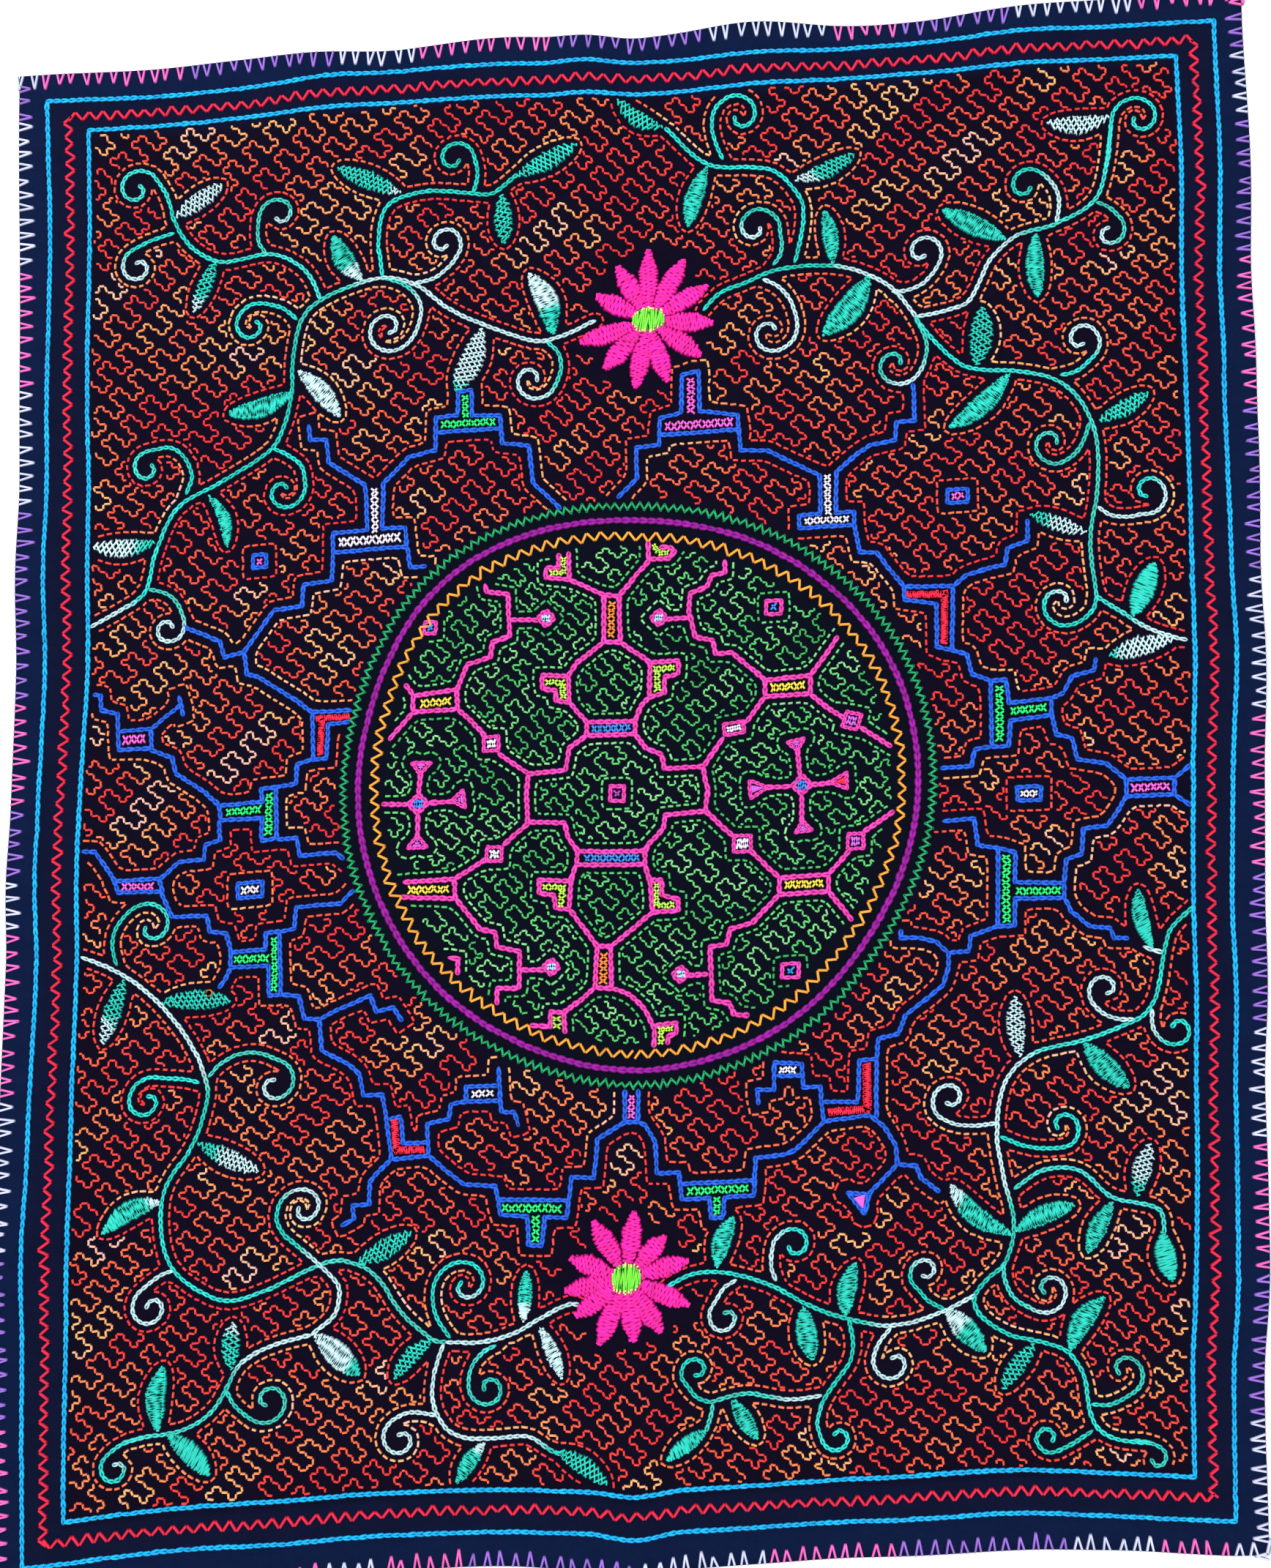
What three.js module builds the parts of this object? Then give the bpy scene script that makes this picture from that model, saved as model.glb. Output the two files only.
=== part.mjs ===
// A hand-embroidered dark blue cotton cloth, spread out face up on a flat surface.
// It is one panel of cloth, cut a little off the straight, so its ends slope against its sides.
// Its rim is uneven, and lifts in soft ripples; everything further in lies flat.
// The origin is on the surface, under the middle of the cloth; +X runs along its width and +Y along its length.
import * as THREE from "three";

// Driving dimensions, in millimetres and degrees.
const FRAME_WIDTH = 713; // between the outer stitched lines at the two sides
const FRAME_LENGTH = 889; // between the outer stitched lines at the two ends
const THICKNESS = 1.6; // cotton with the yarn on its face and back
const SKEW_DEG = 3; // how far the two ends slope against the sides
const CELLS_ACROSS = 38;
const CELLS_ALONG = 46;
const CLOTH_COLOUR = 0x161c3a;

// How far each side strays from straight, at even steps from the bottom end to the top end.
// shift moves the stitched lines towards +X; rim is the bare cloth outside them.
const SIDE_ROWS = [
  { leftShift: -0.8, rightShift: 0.0, leftRim: 17.5, rightRim: 18.5 },
  { leftShift: -2.0, rightShift: -0.3, leftRim: 17.5, rightRim: 18.0 },
  { leftShift: -1.6, rightShift: 3.0, leftRim: 18.5, rightRim: 19.0 },
  { leftShift: -1.0, rightShift: 3.4, leftRim: 18.0, rightRim: 17.5 },
  { leftShift: 1.8, rightShift: 3.8, leftRim: 18.5, rightRim: 19.0 },
  { leftShift: 1.5, rightShift: 5.5, leftRim: 17.0, rightRim: 18.5 },
  { leftShift: 5.0, rightShift: 6.0, leftRim: 18.5, rightRim: 17.5 },
  { leftShift: 4.5, rightShift: 4.6, leftRim: 17.5, rightRim: 19.5 },
  { leftShift: 2.5, rightShift: 2.2, leftRim: 17.0, rightRim: 18.5 },
  { leftShift: 3.0, rightShift: 3.8, leftRim: 19.0, rightRim: 18.0 },
  { leftShift: 0.5, rightShift: 1.0, leftRim: 18.0, rightRim: 17.0 },
];

// The same for the two ends, at even steps from the left side to the right side.
// shift moves the stitched lines towards +Y.
const END_ROWS = [
  { topShift: 0.0, bottomShift: 0.0, topRim: 17.0, bottomRim: 20.0 },
  { topShift: -1.4, bottomShift: 5.5, topRim: 17.0, bottomRim: 21.0 },
  { topShift: 0.8, bottomShift: 9.2, topRim: 18.0, bottomRim: 22.0 },
  { topShift: 3.3, bottomShift: 11.1, topRim: 14.0, bottomRim: 21.5 },
  { topShift: 3.6, bottomShift: 11.0, topRim: 17.5, bottomRim: 20.5 },
  { topShift: -0.7, bottomShift: 6.8, topRim: 15.5, bottomRim: 22.5 },
  { topShift: -0.4, bottomShift: 6.8, topRim: 19.0, bottomRim: 21.0 },
  { topShift: -0.4, bottomShift: 8.6, topRim: 13.5, bottomRim: 20.5 },
  { topShift: 0.2, bottomShift: 10.8, topRim: 15.5, bottomRim: 21.5 },
  { topShift: 1.5, bottomShift: 6.2, topRim: 18.0, bottomRim: 20.0 },
  { topShift: 1.2, bottomShift: 0.8, topRim: 19.0, bottomRim: 21.0 },
];

// Where the rim stands up off the surface: each ripple starts at a place along one side or end,
// is highest there, and dies away as it runs in over its reach.
const RIPPLES = [
  { edge: "bottom", at: 8, halfWidth: 30, reach: 130, lift: 6.5 },
  { edge: "bottom", at: -205, halfWidth: 62, reach: 60, lift: 3.0 },
  { edge: "bottom", at: 185, halfWidth: 70, reach: 70, lift: 3.5 },
  { edge: "top", at: -22, halfWidth: 32, reach: 95, lift: 4.5 },
  { edge: "top", at: -185, halfWidth: 50, reach: 50, lift: 3.5 },
  { edge: "top", at: 82, halfWidth: 52, reach: 55, lift: 3.0 },
  { edge: "top", at: 238, halfWidth: 60, reach: 50, lift: 4.0 },
  { edge: "left", at: 150, halfWidth: 62, reach: 60, lift: 4.0 },
  { edge: "left", at: -40, halfWidth: 48, reach: 45, lift: 3.0 },
  { edge: "left", at: -262, halfWidth: 64, reach: 55, lift: 4.0 },
  { edge: "right", at: 250, halfWidth: 55, reach: 45, lift: 3.0 },
  { edge: "right", at: 55, halfWidth: 66, reach: 60, lift: 4.5 },
  { edge: "right", at: -140, halfWidth: 56, reach: 50, lift: 3.5 },
  { edge: "right", at: -315, halfWidth: 52, reach: 45, lift: 3.0 },
];

// A column of a table read at a share of its length, along a smooth curve through its rows.
function along(rows, column, share) {
  const place = THREE.MathUtils.clamp(share, 0, 1) * (rows.length - 1);
  const row = Math.min(Math.floor(place), rows.length - 2);
  const value = (index) => rows[THREE.MathUtils.clamp(index, 0, rows.length - 1)][column];
  const [before, start, end, after] = [value(row - 1), value(row), value(row + 1), value(row + 2)];
  const t = place - row;
  const slopeIn = (end - before) / 2;
  const slopeOut = (after - start) / 2;
  const rise = end - start;
  return start + t * (slopeIn + t * (3 * rise - 2 * slopeIn - slopeOut + t * (slopeIn + slopeOut - 2 * rise)));
}

// One at the middle, falling smoothly to nothing at one and past it.
function bell(distance) {
  return (1 + Math.cos(Math.PI * THREE.MathUtils.clamp(distance, -1, 1))) / 2;
}

// How high the cloth's underside stands off the surface, at a place on the flat cloth.
function liftAt(x, y) {
  let height = 0;
  for (const ripple of RIPPLES) {
    const endwise = ripple.edge === "top" || ripple.edge === "bottom";
    const outward = { left: -x, right: x, bottom: -y, top: y }[ripple.edge];
    const inset = (endwise ? FRAME_LENGTH : FRAME_WIDTH) / 2 - outward;
    const across = bell(((endwise ? x : y) - ripple.at) / ripple.halfWidth);
    height += ripple.lift * across * bell(Math.max(inset, 0) / ripple.reach);
  }
  return height;
}

// Where a place on the flat, square cloth comes to lie once it is skewed and spread out.
function laid(x, y) {
  const across = THREE.MathUtils.clamp(x / FRAME_WIDTH + 0.5, 0, 1);
  const up = THREE.MathUtils.clamp(y / FRAME_LENGTH + 0.5, 0, 1);
  const shiftX = THREE.MathUtils.lerp(along(SIDE_ROWS, "leftShift", up), along(SIDE_ROWS, "rightShift", up), across);
  const shiftY = THREE.MathUtils.lerp(along(END_ROWS, "bottomShift", across), along(END_ROWS, "topShift", across), up);
  const slope = Math.tan(THREE.MathUtils.degToRad(SKEW_DEG));
  return new THREE.Vector3(x + shiftX, y + slope * x + shiftY, liftAt(x, y));
}

// The underside as a grid of points, rows from the bottom end up, each from the left side to the right.
function undersideGrid() {
  const rows = [];
  for (let j = 0; j <= CELLS_ALONG; j += 1) {
    const up = j / CELLS_ALONG;
    const row = [];
    for (let i = 0; i <= CELLS_ACROSS; i += 1) {
      const across = i / CELLS_ACROSS;
      const left = -FRAME_WIDTH / 2 - along(SIDE_ROWS, "leftRim", up);
      const right = FRAME_WIDTH / 2 + along(SIDE_ROWS, "rightRim", up);
      const bottom = -FRAME_LENGTH / 2 - along(END_ROWS, "bottomRim", across);
      const top = FRAME_LENGTH / 2 + along(END_ROWS, "topRim", across);
      row.push(laid(THREE.MathUtils.lerp(left, right, across), THREE.MathUtils.lerp(bottom, top, up)));
    }
    rows.push(row);
  }
  return rows;
}

// The grid's outline, as point numbers, anticlockwise seen from above.
function outlineOf(index) {
  const outline = [];
  for (let i = 0; i < CELLS_ACROSS; i += 1) outline.push(index(i, 0));
  for (let j = 0; j < CELLS_ALONG; j += 1) outline.push(index(CELLS_ACROSS, j));
  for (let i = CELLS_ACROSS; i > 0; i -= 1) outline.push(index(i, CELLS_ALONG));
  for (let j = CELLS_ALONG; j > 0; j -= 1) outline.push(index(0, j));
  return outline;
}

// The whole panel: the underside, the same grid raised by the thickness, and the cut edge between them.
function clothGeometry() {
  const underside = undersideGrid().flat();
  const extent = new THREE.Box3().setFromPoints(underside);
  const middle = extent.getCenter(new THREE.Vector3()).setZ(0);
  underside.forEach((point) => point.sub(middle));
  const face = underside.map((point) => point.clone().add(new THREE.Vector3(0, 0, THICKNESS)));
  const raised = underside.length;
  const index = (i, j) => j * (CELLS_ACROSS + 1) + i;
  const triangles = [];
  for (let j = 0; j < CELLS_ALONG; j += 1) {
    for (let i = 0; i < CELLS_ACROSS; i += 1) {
      const [a, b, c, d] = [index(i, j), index(i + 1, j), index(i + 1, j + 1), index(i, j + 1)];
      triangles.push(a, c, b, a, d, c);
      triangles.push(raised + a, raised + b, raised + c, raised + a, raised + c, raised + d);
    }
  }
  const outline = outlineOf(index);
  outline.forEach((point, k) => {
    const next = outline[(k + 1) % outline.length];
    triangles.push(point, next, raised + next, point, raised + next, raised + point);
  });
  const geometry = new THREE.BufferGeometry().setFromPoints([...underside, ...face]);
  geometry.setIndex(triangles);
  geometry.computeVertexNormals();
  return geometry;
}

function clothPanel() {
  const material = new THREE.MeshStandardMaterial({ color: CLOTH_COLOUR, roughness: 0.92, metalness: 0 });
  const panel = new THREE.Mesh(clothGeometry(), material);
  panel.name = "cloth";
  return panel;
}

const embroideredCloth = new THREE.Group();
embroideredCloth.add(clothPanel());

export default embroideredCloth;
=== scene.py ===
import math

import bpy
import numpy as np
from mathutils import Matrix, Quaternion, Vector


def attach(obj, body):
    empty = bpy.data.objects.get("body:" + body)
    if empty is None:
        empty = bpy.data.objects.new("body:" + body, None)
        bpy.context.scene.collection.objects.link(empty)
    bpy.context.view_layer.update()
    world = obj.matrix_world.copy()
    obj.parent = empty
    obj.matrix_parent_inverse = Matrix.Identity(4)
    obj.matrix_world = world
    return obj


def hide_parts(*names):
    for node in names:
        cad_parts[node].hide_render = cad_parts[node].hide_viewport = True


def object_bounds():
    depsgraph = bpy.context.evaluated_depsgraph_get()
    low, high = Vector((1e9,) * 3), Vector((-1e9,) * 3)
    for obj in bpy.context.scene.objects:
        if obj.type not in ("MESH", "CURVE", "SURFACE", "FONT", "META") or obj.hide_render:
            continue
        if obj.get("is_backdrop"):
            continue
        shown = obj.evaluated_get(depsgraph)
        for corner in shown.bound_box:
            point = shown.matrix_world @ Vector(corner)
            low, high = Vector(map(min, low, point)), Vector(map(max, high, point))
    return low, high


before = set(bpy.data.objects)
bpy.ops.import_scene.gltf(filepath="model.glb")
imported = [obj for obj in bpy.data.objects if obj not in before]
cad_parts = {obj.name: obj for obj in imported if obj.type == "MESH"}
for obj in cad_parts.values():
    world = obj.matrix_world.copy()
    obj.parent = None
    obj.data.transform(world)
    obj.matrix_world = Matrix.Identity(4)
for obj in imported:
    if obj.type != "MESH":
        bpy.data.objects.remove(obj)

cad_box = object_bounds()

# Cotton panel
# One length of navy plain-weave cotton, cut a little off the straight and spread out face up.
# Its rim is uneven and lifts in soft ripples. Further in it lies flat, held down by the yarn on its face.
# All places are first given on the flat, square cloth in millimetres, from the middle of the stitched frame.
MM = 0.001
FRAME_WIDTH = 713.0
FRAME_LENGTH = 889.0
COTTON_THICKNESS = 0.9
CUT_SLOPE = math.tan(math.radians(3.0))
LEFT_SHIFT = (-0.8, -2.0, -1.6, -1.0, 1.8, 1.5, 5.0, 4.5, 2.5, 3.0, 0.5)
RIGHT_SHIFT = (0.0, -0.3, 3.0, 3.4, 3.8, 5.5, 6.0, 4.6, 2.2, 3.8, 1.0)
LEFT_RIM = (17.5, 17.5, 18.5, 18.0, 18.5, 17.0, 18.5, 17.5, 17.0, 19.0, 18.0)
RIGHT_RIM = (18.5, 18.0, 19.0, 17.5, 19.0, 18.5, 17.5, 19.5, 18.5, 18.0, 17.0)
TOP_SHIFT = (0.0, -1.4, 0.8, 3.3, 3.6, -0.7, -0.4, -0.4, 0.2, 1.5, 1.2)
BOTTOM_SHIFT = (0.0, 5.5, 9.2, 11.1, 11.0, 6.8, 6.8, 8.6, 10.8, 6.2, 0.8)
TOP_RIM = (17.0, 17.0, 18.0, 14.0, 17.5, 15.5, 19.0, 13.5, 15.5, 18.0, 19.0)
BOTTOM_RIM = (20.0, 21.0, 22.0, 21.5, 20.5, 22.5, 21.0, 20.5, 21.5, 20.0, 21.0)
RIPPLES = (  # side, place along it, half its width, how far it runs in, how high it stands
    ("bottom", 8, 30, 130, 6.5),
    ("bottom", -205, 62, 60, 3.0),
    ("bottom", 185, 70, 70, 3.5),
    ("top", -22, 32, 95, 4.5),
    ("top", -185, 50, 50, 3.5),
    ("top", 82, 52, 55, 3.0),
    ("top", 238, 60, 50, 4.0),
    ("left", 150, 62, 60, 4.0),
    ("left", -40, 48, 45, 3.0),
    ("left", -262, 64, 55, 4.0),
    ("right", 250, 55, 45, 3.0),
    ("right", 55, 66, 60, 4.5),
    ("right", -140, 56, 50, 3.5),
    ("right", -315, 52, 45, 3.0),
)


def along(rows, share):
    """A row of evenly spaced values, read smoothly at a share of its length."""
    rows = np.asarray(rows, float)
    place = np.clip(share, 0, 1) * (len(rows) - 1)
    row = np.minimum(place.astype(int), len(rows) - 2)
    t = place - row
    before, start, end, after = (rows[np.clip(row + k, 0, len(rows) - 1)] for k in (-1, 0, 1, 2))
    slope_in, slope_out, rise = (end - before) / 2, (after - start) / 2, end - start
    squared = 3 * rise - 2 * slope_in - slope_out
    cubed = slope_in + slope_out - 2 * rise
    return start + t * (slope_in + t * (squared + t * cubed))


def bell(distance):
    """One at the middle, falling smoothly to nothing at one and past it."""
    return (1 + np.cos(np.pi * np.clip(distance, -1, 1))) / 2


def skewed(x, y):
    """Where a place on the flat cloth lies once it is spread out, before the sheet is centred."""
    across = np.clip(x / FRAME_WIDTH + 0.5, 0, 1)
    up = np.clip(y / FRAME_LENGTH + 0.5, 0, 1)
    shift_x = along(LEFT_SHIFT, up) * (1 - across) + along(RIGHT_SHIFT, up) * across
    shift_y = along(BOTTOM_SHIFT, across) * (1 - up) + along(TOP_SHIFT, across) * up
    return x + shift_x, y + CUT_SLOPE * x + shift_y


def underside(x, y):
    """How high the cloth stands off the surface at a place on the flat cloth."""
    height = np.zeros_like(x)
    for side, at, half_width, reach, lift in RIPPLES:
        outward = {"left": -x, "right": x, "bottom": -y, "top": y}[side]
        endwise = side in ("top", "bottom")
        inset = (FRAME_LENGTH if endwise else FRAME_WIDTH) / 2 - outward
        height += lift * bell(((x if endwise else y) - at) / half_width) * bell(np.maximum(inset, 0) / reach)
    return height


def to_rim(across, up):
    """A share across and a share up the whole panel, as a place on the flat cloth."""
    left = -FRAME_WIDTH / 2 - along(LEFT_RIM, up)
    right = FRAME_WIDTH / 2 + along(RIGHT_RIM, up)
    bottom = -FRAME_LENGTH / 2 - along(BOTTOM_RIM, across)
    top = FRAME_LENGTH / 2 + along(TOP_RIM, across)
    return left + (right - left) * across, bottom + (top - bottom) * up


steps = np.linspace(0, 1, 401)
ends = np.zeros_like(steps)
rim_x, rim_y = skewed(*to_rim(np.r_[steps, steps, ends, ends + 1], np.r_[ends, ends + 1, steps, steps]))
MIDDLE_X = (rim_x.min() + rim_x.max()) / 2
MIDDLE_Y = (rim_y.min() + rim_y.max()) / 2


def on_cloth(x, y, height):
    """Places on the flat cloth, at heights over its face, as points in metres in the object's frame."""
    plan_x, plan_y = skewed(x, y)
    level = underside(x, y) + COTTON_THICKNESS + height
    return np.stack([plan_x - MIDDLE_X, plan_y - MIDDLE_Y, level], axis=-1) * MM


def linear(red, green, blue):
    """A colour as seen on a screen, 0 to 255, as the linear values that a renderer mixes."""
    share = np.array([red, green, blue], float) / 255
    return np.where(share <= 0.04045, share / 12.92, ((share + 0.055) / 1.055) ** 2.4)


def clean_start():
    bpy.ops.object.select_all(action="DESELECT")


def node_group(name, inputs, outputs):
    """An empty shader node group with its sockets."""
    group = bpy.data.node_groups.new(name, "ShaderNodeTree")
    for socket, value in inputs.items():
        made = group.interface.new_socket(socket, in_out="INPUT", socket_type="NodeSocketFloat")
        made.default_value = value
    for socket, kind in outputs.items():
        group.interface.new_socket(socket, in_out="OUTPUT", socket_type=kind)
    return group


def add(tree, kind, **values):
    """A shader node with its settings, and its inputs set where a value is not one of its settings."""
    node = tree.nodes.new(kind)
    for key, value in values.items():
        if hasattr(node, key):
            setattr(node, key, value)
        else:
            node.inputs[key.replace("_", " ")].default_value = value
    return node


def math_node(tree, operation, first, second=None):
    """A maths node, each of whose inputs is a number or another node's output."""
    node = tree.nodes.new("ShaderNodeMath")
    node.operation = operation
    for socket, value in zip(node.inputs, (first, second)):
        if value is None:
            continue
        if isinstance(value, (int, float)):
            socket.default_value = value
        else:
            tree.links.new(value, socket)
    return node.outputs[0]


def plain_weave():
    """The height of an over-and-under weave on a flat face."""
    tree = node_group("plain_weave", {"Threads per m": 1700.0}, {"Height": "NodeSocketFloat"})
    inlet = tree.nodes.new("NodeGroupInput")
    outlet = tree.nodes.new("NodeGroupOutput")
    place = tree.nodes.new("ShaderNodeTexCoord")
    axes = tree.nodes.new("ShaderNodeSeparateXYZ")
    tree.links.new(place.outputs["Object"], axes.inputs[0])
    turn = math_node(tree, "MULTIPLY", inlet.outputs["Threads per m"], math.pi)
    warp = math_node(tree, "SINE", math_node(tree, "MULTIPLY", axes.outputs["X"], turn))
    weft = math_node(tree, "SINE", math_node(tree, "MULTIPLY", axes.outputs["Y"], turn))
    tree.links.new(math_node(tree, "MULTIPLY", warp, weft), outlet.inputs["Height"])
    return tree


def cotton():
    """Matt navy cotton: its colour from the cloth's own attribute, mottled, with a fine plain weave."""
    material = bpy.data.materials.new("navy_cotton")
    material.use_nodes = True
    tree = material.node_tree
    shader = tree.nodes["Principled BSDF"]
    shader.inputs["Roughness"].default_value = 0.9
    shader.inputs["Specular IOR Level"].default_value = 0.02
    dye_and_painted_light = add(tree, "ShaderNodeAttribute", attribute_name="dye_and_painted_light")
    place = tree.nodes.new("ShaderNodeTexCoord")
    mottle = add(tree, "ShaderNodeTexNoise", Scale=55.0, Detail=5.0, Roughness=0.65)
    slub = add(tree, "ShaderNodeTexNoise", Scale=900.0, Detail=2.0)
    tree.links.new(place.outputs["Object"], mottle.inputs["Vector"])
    tree.links.new(place.outputs["Object"], slub.inputs["Vector"])
    shade = add(tree, "ShaderNodeMapRange", To_Min=0.72, To_Max=1.3)
    tree.links.new(mottle.outputs["Fac"], shade.inputs["Value"])
    fleck = add(tree, "ShaderNodeMapRange", To_Min=0.78, To_Max=1.22)
    tree.links.new(slub.outputs["Fac"], fleck.inputs["Value"])
    tint = math_node(tree, "MULTIPLY", shade.outputs["Result"], fleck.outputs["Result"])
    mixed = add(tree, "ShaderNodeVectorMath", operation="SCALE")
    tree.links.new(dye_and_painted_light.outputs["Color"], mixed.inputs[0])
    tree.links.new(tint, mixed.inputs["Scale"])
    tree.links.new(mixed.outputs[0], shader.inputs["Base Color"])
    weave = tree.nodes.new("ShaderNodeGroup")
    weave.node_tree = plain_weave()
    bump = add(tree, "ShaderNodeBump", Strength=0.35, Distance=0.0002)
    tree.links.new(weave.outputs["Height"], bump.inputs["Height"])
    tree.links.new(bump.outputs["Normal"], shader.inputs["Normal"])
    return material


RING_X, RING_Y = 5.4, -6.2
RING_BULGES = (  # degrees round from the right, and how much further out the rings are sewn there
    (0, -1), (20, -2), (50, -4), (80, -3), (100, 1), (115, 4), (131, 10.5), (145, 9.5), (160, 4), (180, 0),
    (205, -2), (260, -2), (285, 0), (305, 2), (325, -1), (345, 0),
)
BORDER_NAVY = linear(10, 22, 52)
FIELD_NAVY = linear(12, 8, 24)
RING_NAVY = linear(8, 10, 22)
RINGS_OUTSIDE = 180
PUCKER_HEIGHT = 0.22
PUCKER_LEFT_BY_YARN = 0.6


def out_of_round(turn):
    """How far outside a true circle the rings run at an angle, because they are sewn by eye."""
    degrees, bulges = np.array(RING_BULGES, float).T
    nearby = np.degrees(turn)[..., None] + np.linspace(-9, 9, 7)
    return np.interp(nearby, degrees, bulges, period=360).mean(-1)


def ring_reach(x, y):
    """How far out a place lies from the medallion's middle, counted in the size of an even ring."""
    return np.hypot(x - RING_X, y - RING_Y) - out_of_round(np.arctan2(y - RING_Y, x - RING_X))


def cotton_panel():
    """The cloth: a fine grid spread out on its ripples, thickened and given its colour, navy at the border
    and darker inside the frame and the rings.
    """
    clean_start()
    across, up = 150, 186
    bpy.ops.mesh.primitive_grid_add(x_subdivisions=across, y_subdivisions=up, size=1)
    panel = bpy.context.object
    panel.name = "cotton_panel"
    mesh = panel.data
    shares = np.empty(len(mesh.vertices) * 3)
    mesh.vertices.foreach_get("co", shares)
    shares = shares.reshape(-1, 3)[:, :2] + 0.5
    flat_x, flat_y = to_rim(shares[:, 0], shares[:, 1])
    wave_across = np.sin(flat_x / 9.1 + 1.7 * np.sin(flat_y / 31))
    wave_up = np.sin(flat_y / 11.3 + 1.9 * np.sin(flat_x / 27))
    pucker = PUCKER_HEIGHT * wave_across * wave_up
    edge_free = np.minimum(bell(flat_x / 420), bell(flat_y / 520))
    face = on_cloth(flat_x, flat_y, pucker * np.minimum(edge_free * 4, 1) * PUCKER_LEFT_BY_YARN)
    mesh.vertices.foreach_set("co", face.ravel())
    inner = np.minimum(FRAME_WIDTH / 2 - 24 - np.abs(flat_x), FRAME_LENGTH / 2 - 22 - np.abs(flat_y))
    radius = ring_reach(flat_x, flat_y)
    between = np.minimum(FRAME_WIDTH / 2 - np.abs(flat_x), FRAME_LENGTH / 2 - np.abs(flat_y))
    in_field = np.maximum(np.clip(inner / 6 + 0.7, 0, 1), 0.55 * np.clip(between / 5 + 0.5, 0, 1))[:, None]
    in_ring = np.clip((RINGS_OUTSIDE - radius) / 6, 0, 1)[:, None]
    # The ground is darker and more purple inside the frame, and a dark navy inside the rings.
    ground = BORDER_NAVY * (1 - in_field) + FIELD_NAVY * in_field
    ground = ground * (1 - in_ring) + RING_NAVY * in_ring
    dye_and_painted_light = mesh.attributes.new("dye_and_painted_light", "FLOAT_COLOR", "POINT")
    dye_and_painted_light.data.foreach_set("color", np.c_[ground, np.ones(len(ground))].ravel())
    thick = panel.modifiers.new("thickness", "SOLIDIFY")
    thick.thickness = COTTON_THICKNESS * MM
    thick.offset = -1
    bpy.ops.object.modifier_apply(modifier=thick.name)
    bpy.ops.object.shade_smooth()
    mesh.materials.clear()
    mesh.materials.append(cotton())
    return panel


panel = cotton_panel()
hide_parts("cloth")
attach(panel, "root")

# Blue frame lines
# Two rectangles of chain stitch in bright blue six-strand yarn, one inside the other, near the rim.
# Each link is a loop of yarn held down by the next one.
# The sewing helpers that follow serve every later line.
rng = np.random.default_rng(20)


def read_stitch(stitch, strand_turn):
    """A finished stitch's points and faces, and each point's place on its strand, painted shade and painted
    highlight.
    """
    mesh = stitch.data
    points = np.empty(len(mesh.vertices) * 3)
    mesh.vertices.foreach_get("co", points)
    points = points.reshape(-1, 3)
    faces = [tuple(face.vertices) for face in mesh.polygons]
    lay = strand_turn(points)
    # Painted shade: the colour is darkened the lower a point lies, to half where the yarn meets the cloth,
    # and lightened a little on top.
    shade = np.interp(points[:, 2], (0, 1), (0.5, 1.1))
    # Painted highlight: a little white is added towards the top of the yarn.
    gloss_and_painted_highlight = 0.014 * np.clip(points[:, 2], 0, 1) ** 2
    bpy.data.objects.remove(stitch)
    return {"points": points, "faces": faces, "lay": lay, "shade": shade, "gloss_and_painted_highlight": gloss_and_painted_highlight}


def model_running_stitch():
    """A short length of yarn with a flattened round top, and both ends going down into the cloth."""
    clean_start()
    bpy.ops.mesh.primitive_cylinder_add(
        vertices=4, radius=0.5, depth=0.82, end_fill_type="TRIFAN",
        location=(0.5, 0, 0), rotation=(0, math.pi / 2, 0)
    )
    stitch = bpy.context.object
    bpy.ops.object.transform_apply(location=True, rotation=True, scale=True)
    bpy.ops.object.mode_set(mode="EDIT")
    bpy.ops.mesh.select_all(action="SELECT")
    bpy.ops.transform.rotate(value=math.pi / 4, orient_axis="X", center_override=(0.5, 0, 0))
    bpy.ops.object.mode_set(mode="OBJECT")
    for vertex in stitch.data.vertices:
        x, y, z = vertex.co
        if abs(y) < 0.01:
            vertex.co = (0.5 + math.copysign(0.5, x - 0.5), 0, -0.2)
        elif z > 0:
            vertex.co = (0.5 + (x - 0.5) * 0.9, math.copysign(0.28, y), 1)
        else:
            vertex.co = (0.5 + (x - 0.5) * 1.1, math.copysign(0.5, y), 0)
    return read_stitch(stitch, lambda p: np.c_[p[:, 0], p[:, 1]])


def model_chain_link(opening):
    """A loop of yarn: pointed where it leaves the cloth, widest near its far end, with a slit inside."""
    clean_start()
    strand = 0.3
    bpy.ops.mesh.primitive_torus_add(
        major_segments=10, minor_segments=4, major_radius=1, minor_radius=strand, generate_uvs=False
    )
    link = bpy.context.object
    points = np.array([v.co[:] for v in link.data.vertices])
    turn = np.arctan2(points[:, 1], -points[:, 0])
    across_strand = (np.hypot(points[:, 0], points[:, 1]) - 1) / strand
    lengthwise = (1 - np.cos(turn)) / 2
    bulge = np.interp(lengthwise, (0, 0.1, 0.35, 0.66, 0.9, 1), (0, 0.34, 0.72, 1, 0.8, 0)) * np.sign(turn)
    crest = np.interp(lengthwise, (0, 0.1, 0.35, 0.66, 1), (0.4, 0.85, 1, 0.85, 0.5))
    x = 0.09 + 0.82 * lengthwise - across_strand * 0.09 * np.cos(turn)
    y = opening * bulge + across_strand * (0.5 - opening) * np.sin(turn)
    z = (points[:, 2] / strand / 2 + 0.5) * crest
    link.data.vertices.foreach_set("co", np.c_[x, y, z].ravel())
    return read_stitch(link, lambda p: np.c_[turn / math.pi, across_strand * 0.19])


RUNNING = model_running_stitch()
OPEN_LINK = model_chain_link(0.28)
TIGHT_LINK = model_chain_link(0.255)
SOLID_LINK = model_chain_link(0.215)


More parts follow.
